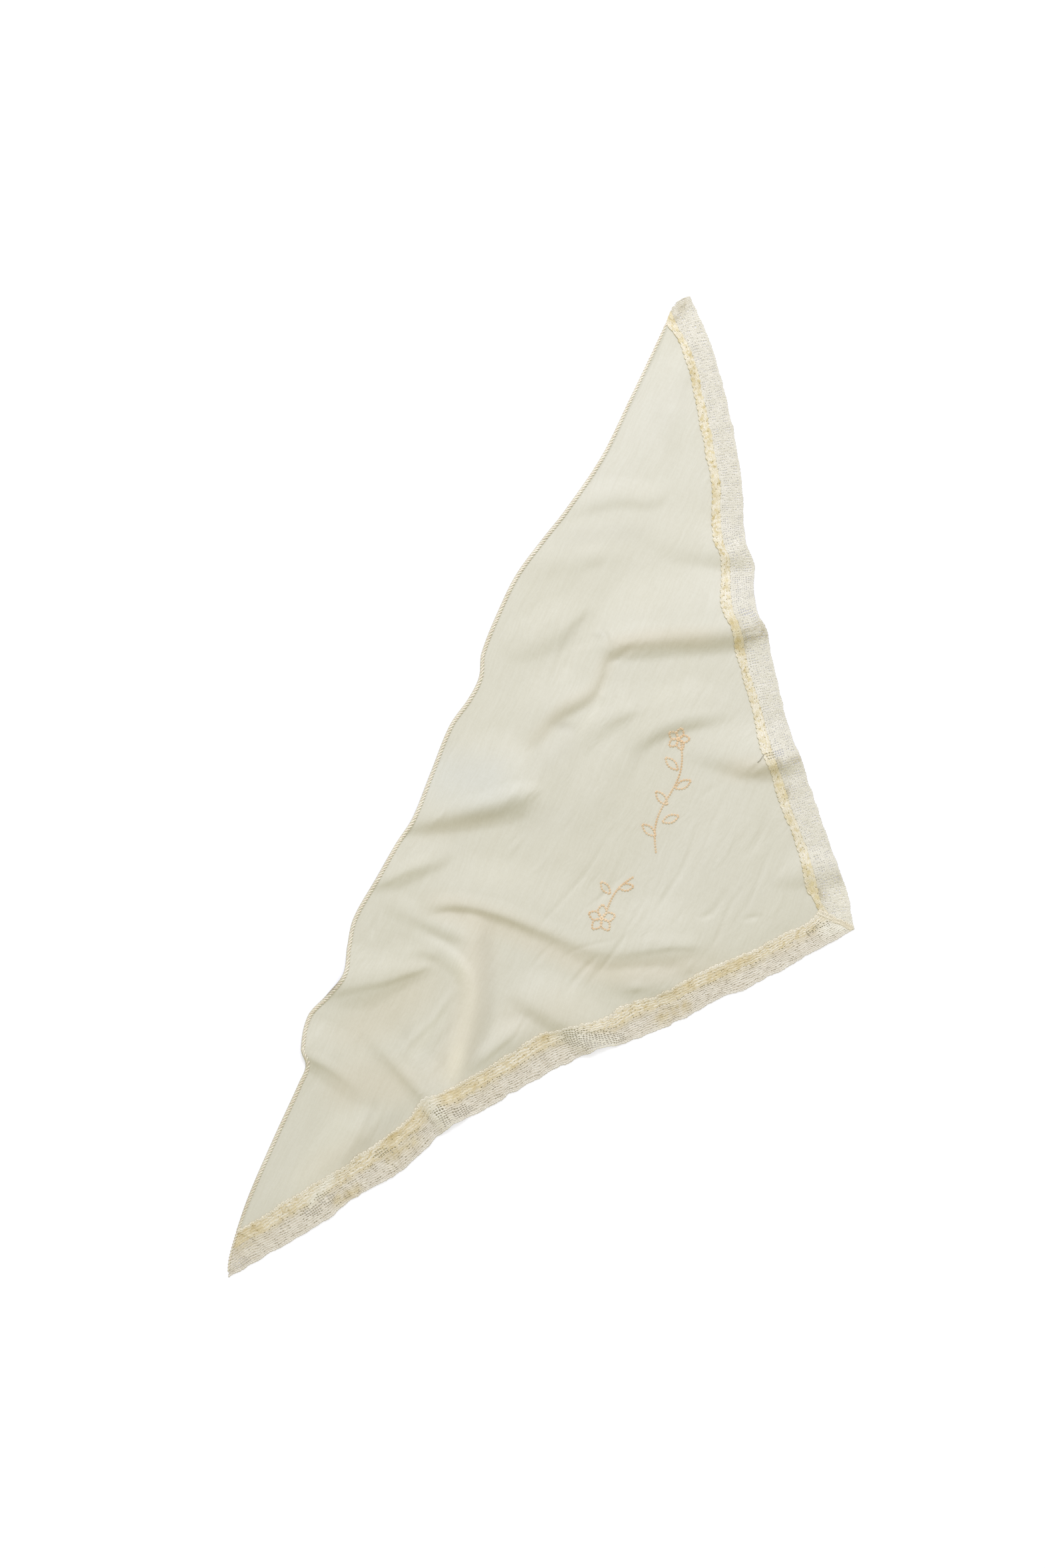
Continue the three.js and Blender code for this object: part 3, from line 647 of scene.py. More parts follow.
def stretched_noise(tree, scale, detail=2.0, roughness=0.5, sway=0.0):
    """Noise in object space; scale is bumps a metre along X, Y and Z, sway bends it, in metres."""
    place = add(tree, "TexCoord", {}, "Object")
    if sway:
        bend = add(tree, "TexNoise", {"Vector": place, "Scale": BEND_BUMPS}, "Color")
        inputs = {0: bend, 1: (sway, sway, 0), 2: place}
        place = add(tree, "VectorMath", inputs, operation="MULTIPLY_ADD")
    return noise_at(tree, place, scale, detail, roughness)


def ramp(tree, value, *stops):
    """Colours along a value; each stop is a place and a colour."""
    node = tree.nodes.new("ShaderNodeValToRGB")
    tree.links.new(value, node.inputs["Fac"])
    while len(node.color_ramp.elements) < len(stops):
        node.color_ramp.elements.new(0.5)
    for element, (position, colour) in zip(node.color_ramp.elements, stops):
        element.position = position
        element.color = (*colour, 1)
    return node.outputs["Color"]


def bumped(tree, height, distance, **under):
    """A bump of so many metres, on top of another bump's Normal if there is one."""
    return add(tree, "Bump", {"Strength": 1.0, "Distance": distance, "Height": height, **under})


def with_painted_shade(tree, colour):
    """A colour darkened by the attribute as painted shade, and lightened where it is low as painted
    light.
    """
    return multiplied(tree, colour, ramp(
        tree, attribute(tree, "darker"),
        (0.3, (1.2, 1.2, 1.2)), (0.7, (0.8, 0.79, 0.77)), (1.0, (0.35, 0.3, 0.2)),
    ))


def voile_material():
    material, tree, shader = new_material("voile", 0.92)
    patches = stretched_noise(tree, (7, 11, 9), 4.0)
    colour = ramp(tree, patches, (0.32, (0.722, 0.703, 0.592)), (0.68, (0.752, 0.736, 0.640)))
    layers = [
        # bumps a metre along X, Y, Z; darkest colour; share
        ((34, 620, 200), (0.90, 0.885, 0.85), 0.32),
        ((600, 45, 200), (0.93, 0.92, 0.90), 0.18),
        ((420, 700, 200), (0.90, 0.89, 0.87), 0.28),
    ]
    for scale, darkest, share in layers:
        fibres = stretched_noise(tree, scale, 3.0, 0.6, 0.012)
        colour = multiplied(tree, colour, ramp(tree, fibres, (0.32, darkest), (0.62, WHITE)), share)
    # Painted warm shade: yellower where the strokes lie along the folds, less yellow where they are
    # below 0.
    warm_tint = ramp(
        tree, attribute(tree, "fold_warmth"),
        (0.0, (0.985, 1.01, 1.06)), (0.5, WHITE), (1.0, (1.01, 0.975, 0.94)),
    )
    wrinkles = stretched_noise(tree, (42, 170, 150), 3.0, 0.5, 0.045)
    wrinkles = calculated(tree, "MULTIPLY", wrinkles, attribute(tree, "wrinkled"))
    folded = bumped(tree, wrinkles, WRINKLE_HEIGHT)
    fibres = stretched_noise(tree, (50, 420, 200), 4.0, 0.6, 0.012)
    plug(tree, shader, {
        "Base Color": multiplied(tree, with_painted_shade(tree, colour), warm_tint),
        "Normal": bumped(tree, fibres, FIBRE_HEIGHT, Normal=folded),
    })
    return material


def thread_material(name, dark, light, tones=False):
    material, tree, shader = new_material(name, 0.9)
    broad = stretched_noise(tree, (60, 60, 60), 3.0)
    fine = stretched_noise(tree, (THREAD_BUMPS,) * 3)
    fluff = stretched_noise(tree, (THREAD_BUMPS * 2,) * 3)
    colour = multiplied(
        tree, ramp(tree, broad, (0.35, dark), (0.65, light)),
        ramp(tree, fine, (0.3, (0.86, 0.85, 0.82)), (0.6, WHITE)),
    )
    plug(tree, shader, {
        "Base Color": with_painted_shade(tree, colour) if tones else colour,
        "Normal": bumped(tree, fluff, FLUFF_HEIGHT),
    })
    return material


def net_material(name, knotted, *colours):
    """Fluffy thread, coloured in two shades each for the gaps, the ridges and the golden places;
    the gaps' darker shades are painted shade between the ribs.
    """
    material, tree, shader = new_material(name, 0.95)
    strand = attribute(tree, "strand", "Vector")
    strands = noise_at(tree, strand, (420, 1100, 1), 4.0, 0.6)
    wave = {"Scale": KNOT_BANDS, "Distortion": 6.0, "Detail": 2.0, "Detail Scale": 3.0}
    knots = add(tree, "TexWave", {"Vector": strand, **wave}, "Fac")
    blotches = calculated(tree, "MULTIPLY", stretched_noise(tree, (130, 130, 130), 3.0), 0.5)
    shades = calculated(tree, "MULTIPLY_ADD", strands, 0.5, blotches)
    colour, *others = (
        ramp(tree, shades, (0.38, dark), (0.62, light)) for dark, light in (*colours, WHITE_THREAD)
    )
    for share, other in zip(("raised", "golden", "pale"), others):
        colour = mixed(tree, colour, other, attribute(tree, share))
    knot_shade = ramp(tree, knots, (0.15, (0.86, 0.84, 0.80)), (0.6, WHITE))
    knotty = bumped(tree, knots, KNOT_HEIGHT * knotted)
    plug(tree, shader, {
        "Base Color": multiplied(tree, colour, knot_shade, knotted),
        "Normal": bumped(tree, strands, STRAND_HEIGHT, Normal=knotty),
    })
    return material


# ---- The panel ----
def on_cloth(x, y):
    """The height of the cloth's upper side."""
    return height_at(x, y) + CLOTH_THICKNESS


def hem_bulge(depth):
    """How far the rolled hem stands above the plain cloth, at a distance from its edge."""
    share = np.clip(np.abs(depth - HEM_WIDTH / 2) / (HEM_WIDTH / 2), 0, 1)
    return HEM_BULGE * np.sqrt(1 - share**2)


def panel_column(x, cell, hem_rows):
    """The y values of one column of the panel, from the hem down to the cloth's own edge."""
    top, bottom = float(hem_line(x)), float(cloth_edge(x))
    hem = min(HEM_WIDTH, (top - bottom) / 2)
    rows = max(1, round((top - hem - bottom) / cell))
    return np.r_[
        np.linspace(top, top - hem, hem_rows, endpoint=False),
        np.linspace(top - hem, bottom, rows + 1),
    ]


def zipped(left, right):
    """Triangles between two columns of point numbers, each going down in y."""
    faces = []
    i = j = 0
    while i < len(left) - 1 or j < len(right) - 1:
        ahead = (i + 1) / (len(left) - 1) if i < len(left) - 1 else 2
        other = (j + 1) / (len(right) - 1) if j < len(right) - 1 else 2
        if ahead <= other:
            faces.append((left[i], left[i + 1], right[j]))
            i += 1
        else:
            faces.append((left[i], right[j + 1], right[j]))
            j += 1
    return faces


def panel_layer(cell, hem_rows, start):
    """Plan points in columns, their triangles, and the four sides in order, clockwise."""
    first, last = LACE_END_LEFT + 1, LACE_END_RIGHT - 1
    numbers, plan = [], []
    for x in np.linspace(first, last, round((last - first) / cell)):
        ys = panel_column(x, cell, hem_rows)
        numbers.append(list(range(start, start + len(ys))))
        plan.append(np.column_stack([np.full(len(ys), x), ys]))
        start += len(ys)
    faces = []
    for left, right in zip(numbers[:-1], numbers[1:]):
        faces += zipped(left[: hem_rows + 1], right[: hem_rows + 1])
        faces += zipped(left[hem_rows:], right[hem_rows:])
    hem, edge = [n[0] for n in numbers], [n[-1] for n in numbers]
    return np.vstack(plan), np.array(faces), (hem, numbers[-1], edge[::-1], numbers[0][::-1])


def make_panel():
    """The cloth: a fine upper side, a coarser underside, and a rim between them."""
    plan, upper, sides = panel_layer(CLOTH_CELL, HEM_ROWS, 0)
    under_plan, under, under_sides = panel_layer(UNDERSIDE_CELL, 2, len(plan))
    x, y = plan.T
    top = on_cloth(x, y) + hem_bulge(hem_line(x) - y)
    bottom = FLOOR_GAP + value_at(*under_plan.T, UNDERSIDE)
    x, y = np.vstack([plan, under_plan]).T
    rim = [face for side, other in zip(sides, under_sides) for face in zipped(side, other)]
    faces = [upper, under[:, ::-1], np.array(rim)]
    points = np.column_stack([x, y, np.r_[top, bottom]])
    panel = mesh_object("voile_panel", points, {0: faces}, voile_material())
    patches = 0.5 + 0.6 * soft_noise(x, y, 60, 36, 7)
    patches += 0.5 * np.exp(-(((x - 15) / 90) ** 2) - ((y + 50) / 70) ** 2)
    # Painted shade and painted light from the shading strokes.
    set_attribute(panel, "darker", 0.5 + value_at(x, y, SHADING_GRID))
    # The painted warm tint of the folds.
    set_attribute(panel, "fold_warmth", np.clip(0.5 + 0.5 * value_at(x, y, FOLD_WARMTH_GRID), 0, 1))
    set_attribute(panel, "wrinkled", np.clip(patches, 0, 1))
    return panel


# ---- Lace strips ----
STRIP_POINTS = 1200
PAST_ENDS = 30
SMOOTHED_OVER = 101  # points, so that the normals turn gently


class Strip:
    """One lace strip: x, y at a place u along it and a share w of the way to its free edge."""

    def __init__(self, outer, end, corner, tip, hand):
        self.outer, self.end, self.corner, self.tip, self.hand = outer, end, corner, tip, hand
        self.end_width = float(lace_inner(end) - outer(end))
        self.low, self.high = min(tip, corner), max(tip, corner)
        self.xs = np.linspace(self.low - PAST_ENDS, self.high + PAST_ENDS, STRIP_POINTS)
        inside = np.clip(self.xs, min(end, corner), max(end, corner))
        middle = (self.top(inside) + outer(inside)) / 2
        padded = np.pad(middle, SMOOTHED_OVER // 2, "edge")
        smooth = np.convolve(padded, np.ones(SMOOTHED_OVER) / SMOOTHED_OVER, "valid")
        flat = (self.xs <= inside.min() + 15) | (self.xs >= inside.max() - 15)
        slope = np.interp(self.xs, self.xs[~flat], np.gradient(smooth, self.xs)[~flat])
        size = np.hypot(1, slope)
        self.normal_x = slope / size
        self.width = (self.top(inside) - outer(inside)) / size

    def top(self, x):
        """The inner edge; past the end of the cloth it keeps its distance from the free edge."""
        past = (x - self.end) * self.hand > 0
        return np.where(past, self.outer(x) + self.end_width, lace_inner(x))

    def plan(self, u, w):
        shift = np.interp(u, self.xs, self.normal_x) * np.interp(u, self.xs, self.width)
        x = u + shift * w
        top = self.top(x)
        return x, top + (self.outer(x) - top) * w

    def real(self, x, y):
        """Where the strip has lace: between the mitre and the tip, below the line of the hem."""
        past_mitre = (x - self.corner) * self.hand > 0
        before_tip = (self.tip - x) * self.hand > 0
        return past_mitre & before_tip & (y < hem_line(x) - BELOW_HEM)


def lace_lift(x, y):
    """How far the lace's underside stands over the folded surface."""
    step = eased(np.clip((cloth_edge(x) - y) / LACE_STEP_DOWN, 0, 1))
    over_cloth = (x > LACE_END_LEFT) & (x < LACE_END_RIGHT)
    loose = LOOSE_LIFT + 0.1 * soft_noise(x, y, 13, 9, 27)
    for middle_x, middle_y, radius, rise in LOOSE_PLACES:
        loose = loose + rise * spot(x, y, middle_x, middle_y, radius)
    lift = np.where(over_cloth, (CLOTH_THICKNESS + 0.1) * (1 - step), 0.0)
    return lift + loose * step + LACE_GAP


def spot(x, y, middle_x, middle_y, radius):
    return np.exp(-((x - middle_x) ** 2 + (y - middle_y) ** 2) / radius**2)


def band(x, y, x0, y0, x1, y1, radius):
    """1 along a line from one point to another, and less away from it."""
    along_x, along_y = x1 - x0, y1 - y0
    share = ((x - x0) * along_x + (y - y0) * along_y) / (along_x**2 + along_y**2)
    share = np.clip(share, 0, 1)
    return spot(x, y, x0 + share * along_x, y0 + share * along_y, radius)


def near(places, x, y):
    """From 0 to 1 by the nearest of the places."""
    return np.max([band(x, y, *place) for place in places], axis=0)


def drifted(x, y, amount):
    """Small sideways wander of the threads, the same for all threads that meet."""
    shifts = [
        soft_noise(x, y, 8, 5, seed) + 0.5 * soft_noise(x, y, 3.1, 2.6, seed + 1)
        + 0.8 * soft_noise(x, y, 17, 9, seed + 2)
        for seed in (21, 24)
    ]
    return x + amount * shifts[0], y + amount * shifts[1]


# Where the lace stands off the table: x, y, radius, rise.
LOOSE_PLACES = [
    (-235, 52, 14, 0.7), (-134, -34, 18, 0.8), (16, -158, 14, 0.5), (122, -72, 10, 0.9),
    (202, -14, 10, 0.9), (215, 6, 8, 0.5), (-350, 106, 30, 0.4), (-300, 76, 30, 0.4),
    (-260, 56, 20, 0.4), (-200, 20, 20, 0.4), (-60, -90, 30, 0.3), (0, -140, 20, 0.3),
]
# Where the net is stretched open: a line across it, and how far to the sides.
OPEN_PLACES = [
    (-235, 55, -237, 52, 4.4), (-239, 48, -242, 44, 4.2), (-230, 42, -226, 34, 5),
    (217, 4, 220, -5, 3.5), (124, -62, 130, -68, 4), (-140, -14, -136, -30, 9),
    (-132, -34, -126, -50, 7), (12, -148, 25, -158, 2.7), (-411, 146, -406, 141, 4.5),
    (-350, 114, -346, 108, 5), (-337, 108, -334, 103, 5), (-286, 82, -281, 76, 4),
]
# Where the thread is paler.
PALE_PLACES = [
    (-231, 69, -244, 42, 6.5), (-139, -10, -132, -44, 8), (-342, 114, -318, 108, 4),
    (22, -160, 32, -174, 8), (48, -160, 36, -168, 7),
]
# Where the thread is darker gold: partly tea-coloured thread, partly painted shade where folds dip
# under the lace; a line, and how far to the sides.
GOLD_STAIN_AND_SHADE_PLACES = [
    (-392, 154, -378, 147, 10), (-272, 80, -262, 75, 7), (-284, 74, -265, 63, 6),
    (-332, 96, -318, 86, 5), (-260, 76, -245, 69, 7), (-226, 56, -214, 46, 7), (-206, 38, -196, 30, 7),
    (-152, 8, -142, 0, 7), (-96, -72, -80, -84, 6), (-76, -70, -64, -80, 7), (-52, -94, -40, -106, 5),
    (-36, -104, -26, -112, 6), (34, -146, 36, -142, 5), (41, -142, 47, -134, 6),
    (54, -128, 56, -124, 4), (84, -98, 86, -94, 4), (102, -86, 106, -80, 5), (111, -62, 119, -69, 5),
    (190, -5, 205, 8, 6), (290, 64, 294, 68, 5), (362, 116, 368, 120, 5),
]
# Painted shade: bands across the right strip where folds shade the lace, in the golden colour, with how
# much.
PAINTED_SHADE_BANDS = [
    (201, 0, 214, -16, 2.4, 0.8), (197, -4, 207, -17, 2.4, 0.8), (214, -11, 208, -19, 2.6, 0.9),
    (50, -137, 61, -151, 8, 0.1), (116, -61, 123, -68, 2.4, 0.9), (127, -78, 134, -85, 2.8, 0.8),
    (402, 152, 416, 149, 7, 0.8),
]
AGED_FROM, AGED_TO = 215.0, 310.0

# The filet pattern, from the heading out: O and o are open cells, - a slit, : a pinhole, . is filled,
# and = is a rope that runs along the strip.
HEADING_WIDE = ["=====", "::::.", ".:::.", "::.:.", ".:..:"]
HEADING_NARROW = ["=====", "::.::", ":::.:", ".::.:"]
BODY_LEFT = [
    "OOO.O", ":.:..", "---.-", "---.:", "--:..", ".:-:.", ":.:-.", "---.:", "---:-", "====="
]
BODY_RIGHT = [
    ":.::.", ":::.:", "ooo::", "ooo::", ":o:.:", ".:.::", "::::.", "ooo.:", "ooo::", "ooo:.", "====="
]
# Half sizes of the holes along and across, as shares of a cell.
HOLES = {"O": (0.27, 0.26), "o": (0.2, 0.24), "-": (0.33, 0.18), ":": (0.14, 0.13)}
NO_HOLE = 0.3
OPEN_HOLE = 0.33
OPEN_SHARE = 0.7
FILLED_SHARE = 0.25
ROUND = np.array([[0.74, 1, 0.74], [1, 0, 1], [0.74, 1, 0.74]])
CELL_LINES = np.array([0, 0.2, 0.5, 0.8])
# How far the threads wander, in the left strip and the right one.
THREAD_DRIFT = {-1: 0.75, 1: 0.5}
# How much thread there is, as a share of a rib's height.
EDGE_BULK = 0.9
JOINT_BULK = 0.4
ROPE_SIDE_BULK = 0.55
ROPE_PROFILE = [1.0, 0.85, 0.5]
NET_THICKNESS = 0.12
LOOSE_LIFT = 0.12
SPECK_SHARE = 0.16
# Waves of the edges: how far, how often, at what share of the width, and how far that reaches.
WAVES = [(1.0, 4.4, 0.0, 14.0), (0.5, 2.5, 1.0, 1.5)]


def cells_along(strip):
    """Places along the strip, a cell apart measured along it."""
    x = np.linspace(strip.low - 25, strip.high + 25, 4000)
    slope = np.interp(x, strip.xs, strip.normal_x)
    run = np.r_[0, np.cumsum(np.diff(x) / np.sqrt(1 - slope[1:] ** 2))]
    return np.interp(np.arange(0, run[-1], LACE_CELL), run, x)


def cell_grid(chart, count, at_centres, strip_open, rng):
    """For each cell: is it a hole, is it a rope, and its half sizes along and across."""
    kinds = np.array([[line[i % len(line)] for i in range(count)] for line in chart])
    along, across = np.vectorize(lambda kind: HOLES.get(kind, (NO_HOLE, NO_HOLE)))(kinds)
    stretched = near(OPEN_PLACES, *at_centres)
    hole = ((kinds == "O") | (kinds == "o")) & (rng.random(kinds.shape) < OPEN_SHARE)
    hole |= ((kinds == "-") | (kinds == ":")) & (rng.random(kinds.shape) < strip_open)
    rope = kinds == "="
    filled = rng.random(kinds.shape) < FILLED_SHARE
    hole |= (stretched > 0.5) & ~rope & ~((kinds == ".") & filled)
    blend = np.clip((stretched - 0.3) * 2.5, 0, 1) * hole
    sizes = (
        (size + (OPEN_HOLE - size) * blend) * rng.uniform(0.8, 1.15, kinds.shape)
        for size in (along, across)
    )
    return hole, rope, *(np.where(hole, size, NO_HOLE) for size in sizes)


def net_lines(cells, heading, phase, valley, rim, rng):
    """The net's grid, four lines a cell with the middle three shaped to its hole: each point's
    shares of its cell along and across, and how much thread there is."""
    hole, rope, along, across = cells
    rows, count = hole.shape
    shift = rng.uniform(-0.06, 0.06, (2, rows, count))
    shift[1] += 0.05 * np.sin(phase + np.arange(rows)[:, None])
    part_along = np.tile(CELL_LINES, (rows * 4 + 1, count + 1))[:, : count * 4 + 1]
    part_across = np.tile(CELL_LINES[:, None], (rows + 1, count * 4 + 1))[: rows * 4 + 1]
    bulk = np.zeros(part_along.shape)
    for n in (1, 2, 3):
        for m in (1, 2, 3):
            inner = np.s_[n:-1:4, m:-1:4]
            size = ROUND[n - 1, m - 1]
            part_along[inner] = 0.5 + shift[0] + (m - 2) * along * size
            part_across[inner] = 0.5 + shift[1] + (n - 2) * across * size
            filled = valley + (0.16 if n != 2 else 0.0) + 0.2 * rng.random(hole.shape)
            rope_bulk = ROPE_PROFILE[n - 1 if heading else 3 - n]
            bulk[inner] = np.where(rope, rope_bulk, np.where(hole, rim, filled))
    bulk[::4] = 0.82 + 0.18 * rng.random(bulk[::4].shape)
    bulk[:, ::4] = np.maximum(bulk[:, ::4], valley + 0.1 + 0.2 * rng.random(bulk[:, ::4].shape))
    bulk[::4, ::4] = 0.9 + 0.2 * rng.random(bulk[::4, ::4].shape)
    bulk[0], bulk[-1] = (EDGE_BULK, JOINT_BULK) if heading else (JOINT_BULK, EDGE_BULK)
    ropes = np.repeat(rope[:, 0], 4)
    beside_rope = np.r_[ropes, ropes[-1]] & np.r_[True, ropes]
    bulk[beside_rope & (np.arange(rows * 4 + 1) % 4 == 0)] = ROPE_SIDE_BULK
    return part_along, part_across, bulk


def upper_faces(kept, hole, x, y):
    """The grid points in use, and the faces that turn up: the kept cells without their holes."""
    solid = np.repeat(np.repeat(kept, 4, 0), 4, 1)
    for n in (1, 2):
        for m in (1, 2):
            solid[n::4, m::4] &= ~hole
    number = np.arange(x.size).reshape(x.shape)
    corners = np.stack([number[:-1, :-1], number[1:, :-1], number[1:, 1:], number[:-1, 1:]], -1)
    used, faces = np.unique(corners[solid], return_inverse=True)
    faces = faces.reshape(-1, 4)
    a, b, c = (np.array([x.flat[n], y.flat[n]]) for n in used[faces[0, :3]])
    turn = (b - a)[0] * (c - b)[1] - (b - a)[1] * (c - b)[0]
    return used, faces[:, ::-1] if turn < 0 else faces


def gold_stain_and_shade(strip, heading, low, x, y, off_edge, mottle):
    """How far the thread is darker gold, from stained and aged thread and from painted shade where
    folds cross the lace; off_edge is millimetres from the strip's inner edge.
    """
    golden = near(GOLD_STAIN_AND_SHADE_PLACES, x, y) * mottle
    for *place, much in PAINTED_SHADE_BANDS:
        golden = np.maximum(golden, much * band(x, y, *place) * mottle)
    aged = np.clip((x - AGED_FROM) / (AGED_TO - AGED_FROM), 0, 1)
    golden = np.maximum(golden, 0.13 * aged)
    if heading:
        specks = soft_noise(x, y, 1.9, 1.6, 34) * (0.6 + 0.5 * mottle)
        golden = np.maximum(golden, SPECK_SHARE + 0.2 * aged + 0.75 * specks)
    if heading and strip.hand < 0:
        golden *= np.clip(off_edge / 2.0, 0.25, 1)
    elif heading:
        inner_edge = 0.4 * np.clip(1.4 - off_edge / 1.2, 0, 1) * np.clip((x - 60) / 80, 0.3, 1)
        golden = np.maximum(golden, inner_edge * mottle)
    elif strip.hand < 0:
        joint = np.exp(-((off_edge - low * LACE_WIDTH) / 3.0) ** 2)
        joint *= 1 - 0.45 * np.clip((x + 130) / 60, 0, 1)
        golden = np.maximum(golden, joint * mottle)
    return golden


def make_net(name, strip, chart, low, high, strip_open, rib, valley, rim, seed, material):
    """A perforated band of threads between two shares of the strip's width."""
    rng = np.random.default_rng(seed)
    heading = chart in (HEADING_WIDE, HEADING_NARROW)
    us = cells_along(strip)
    count, rows = len(us) - 1, len(chart)
    middles = low + (np.arange(rows) + 0.5) * (high - low) / rows
    centre_u, centre_w = np.meshgrid((us[1:] + us[:-1]) / 2, middles)
    centres = strip.plan(centre_u, centre_w)
    cells = cell_grid(chart, count, centres, strip_open, rng)
    along, across, bulk = net_lines(cells, heading, centre_u * 2.1, valley, rim, rng)
    along += np.arange(count * 4 + 1) // 4
    across += (np.arange(rows * 4 + 1) // 4)[:, None]

    u = np.interp(along, np.arange(count + 1), us)
    w = low + across * (high - low) / rows
    run = along * LACE_CELL
    width = np.interp(u, strip.xs, strip.width)
    for amount, pitch, at, reach in WAVES:
        share = np.clip(1 - np.abs(w - at) * width / reach, 0, 1)
        wander = 1.2 * soft_noise(run, w * LACE_WIDTH, 11, 9, seed % 2)
        sway = np.abs(np.sin(math.pi * (run + wander) / pitch))
        w = w + np.sign(at - 0.5) * amount * share * sway / width
    x, y = drifted(*strip.plan(u, w), THREAD_DRIFT[strip.hand])
    x = np.minimum(x, strip.corner) if strip.hand < 0 else np.maximum(x, strip.corner)
    y = np.minimum(y, hem_line(x) - BELOW_HEM)
    base = height_at(x, y) + lace_lift(x, y)
    fluff = 1 + 0.2 * soft_noise(x, y, 2.1, 1.7, 60)
    top = base + rib * bulk * fluff + NET_THICKNESS

    used, upper = upper_faces(strip.real(*centres), cells[0], x, y)
    grids = (x, y, base, top, bulk, run, w * width)
    x, y, base, top, bulk, run, off_edge = (grid.ravel()[used] for grid in grids)
    starts, ends = upper.ravel(), np.roll(upper, -1, 1).ravel()
    total = len(used)
    keys = starts.astype(np.int64) * total + ends
    open_sides = ~np.isin(ends.astype(np.int64) * total + starts, keys)
    starts, ends = starts[open_sides], ends[open_sides]
    walls = np.stack([ends, starts, starts + total, ends + total], -1)
    points = np.vstack([np.stack([x, y, top], -1), np.stack([x, y, base], -1)])
    piece = mesh_object(name, points, {0: [upper, upper[:, ::-1] + total, walls]}, material)

    # Ridges take the light shades, and the gaps and the underside the darker ones, as painted shade.
    raised = np.clip((bulk - 0.4) / 0.45, 0, 1)
    mottle = 0.72 + 0.4 * soft_noise(x, y, 3, 2.2, 33)
    golden = gold_stain_and_shade(strip, heading, low, x, y, off_edge, mottle)
    pale = near(PALE_PLACES, x, y) * (0.6 + 0.4 * mottle)
    strand = np.stack([run, off_edge, 0 * run], -1) * MM
    set_attribute(piece, "raised", np.r_[raised, raised * 0.3])
    set_attribute(piece, "golden", np.tile(np.clip(golden, 0, 1), 2))
    set_attribute(piece, "pale", np.tile(np.clip(pale, 0, 1), 2))
    set_attribute(piece, "strand", np.vstack([strand, strand]), "FLOAT_VECTOR", "vector")
    return piece


# ---- Stitches ----
# Threads: how wide and how high.
HEM_THREAD = (1.25, 0.6)
MITRE_THREAD = (0.8, 0.5)
CHAIN_THREAD = (0.7, 0.5)
LOOSE_THREAD = (0.4, 0.4)


def along_line(line, x0, x1, pitch):
    """Points x, y a pitch apart along a line, and the direction there."""
    x = np.linspace(x0, x1, 6000)
    y = line(x)
    run = np.r_[0, np.cumsum(np.hypot(np.diff(x), np.diff(y)))]
    at = np.arange(pitch / 2, run[-1], pitch)
    return [np.interp(at, run, v) for v in (x, y, np.gradient(x, run), np.gradient(y, run))]


def hem_stitches():
    """Overcast stitches in two shades, which slant back along the hem and go round its edge."""
    lined = along_line(hem_line, LEFT_X + 5, LACE_END_RIGHT - 2, HEM_STITCH_PITCH)
    px, py, dx, dy = (values[:, None] for values in lined)
    slim = np.interp(px, [LEFT_X, -400, -350, 230, LACE_END_RIGHT], [0.4, 0.55, 1, 1, 0.6])
    # a stitch's points: how far in from the edge, how far ahead, and how far below the roll's top
    depth = slim * [3.1, 2.7, 2.1, 1.5, 0.9, 0.65, 0.6]
    ahead = np.sqrt(slim) * [2.1, 1.9, 1.1, 0.0, -1.1, -1.7, -1.9]
    ahead += 0.35 * soft_noise(px, px, 5, 5, 81)
    drop = np.array([0.25, 0.05, 0.0, 0.0, 0.05, 0.4, 0.9])
    x = px + dx * ahead + dy * depth
    y = py + dy * ahead - dx * depth
    z = np.maximum(on_cloth(x, y) + hem_bulge(depth) + 0.2 - drop, 0.3)
    return [(slot, *tubes(x[slot::2], y[slot::2], z[slot::2], *HEM_THREAD)) for slot in (0, 1)]


def mitre_stitches():
    """A herringbone seam over the join of the two strips, from the cloth's corner to the lace's."""
    rows = []
    for hand in (-1, 1):
        y = np.arange(CORNER_Y + 1.5, float(lace_inner(CORNER_X)) + 0.5, MITRE_PITCH)[:, None]
        t = np.linspace(-1, 1, 6)
        reach = 1.3 + 0.5 * soft_noise(y, y + 5 * hand, 1.3, 1.3, 72)
        x = CORNER_X + hand * 0.9 + 0.5 * soft_noise(y, y, 4, 4, 71) + reach * t
        y = y + hand * 0.6 * t + 0.25 * soft_noise(x, x, 2, 2, 73)
        z = height_at(x, y) + lace_lift(x, y) + 0.8 - 0.35 * t**2
        rows.append((0, *tubes(x, y, z, *MITRE_THREAD)))
    return rows


def thread_end():
    """The loose end of a thread, over the cloth beside the right strip."""
    t = np.linspace(0, 1, 14)[None]
    x, y = 126.5 - 11 * t, -60 + 5.5 * t + 0.9 * np.sin(5 * t)
    z = on_cloth(x, y) + 0.25 + 0.9 * np.sin(math.pi * t) ** 2
    return 1, *tubes(x, y, z, *LOOSE_THREAD)


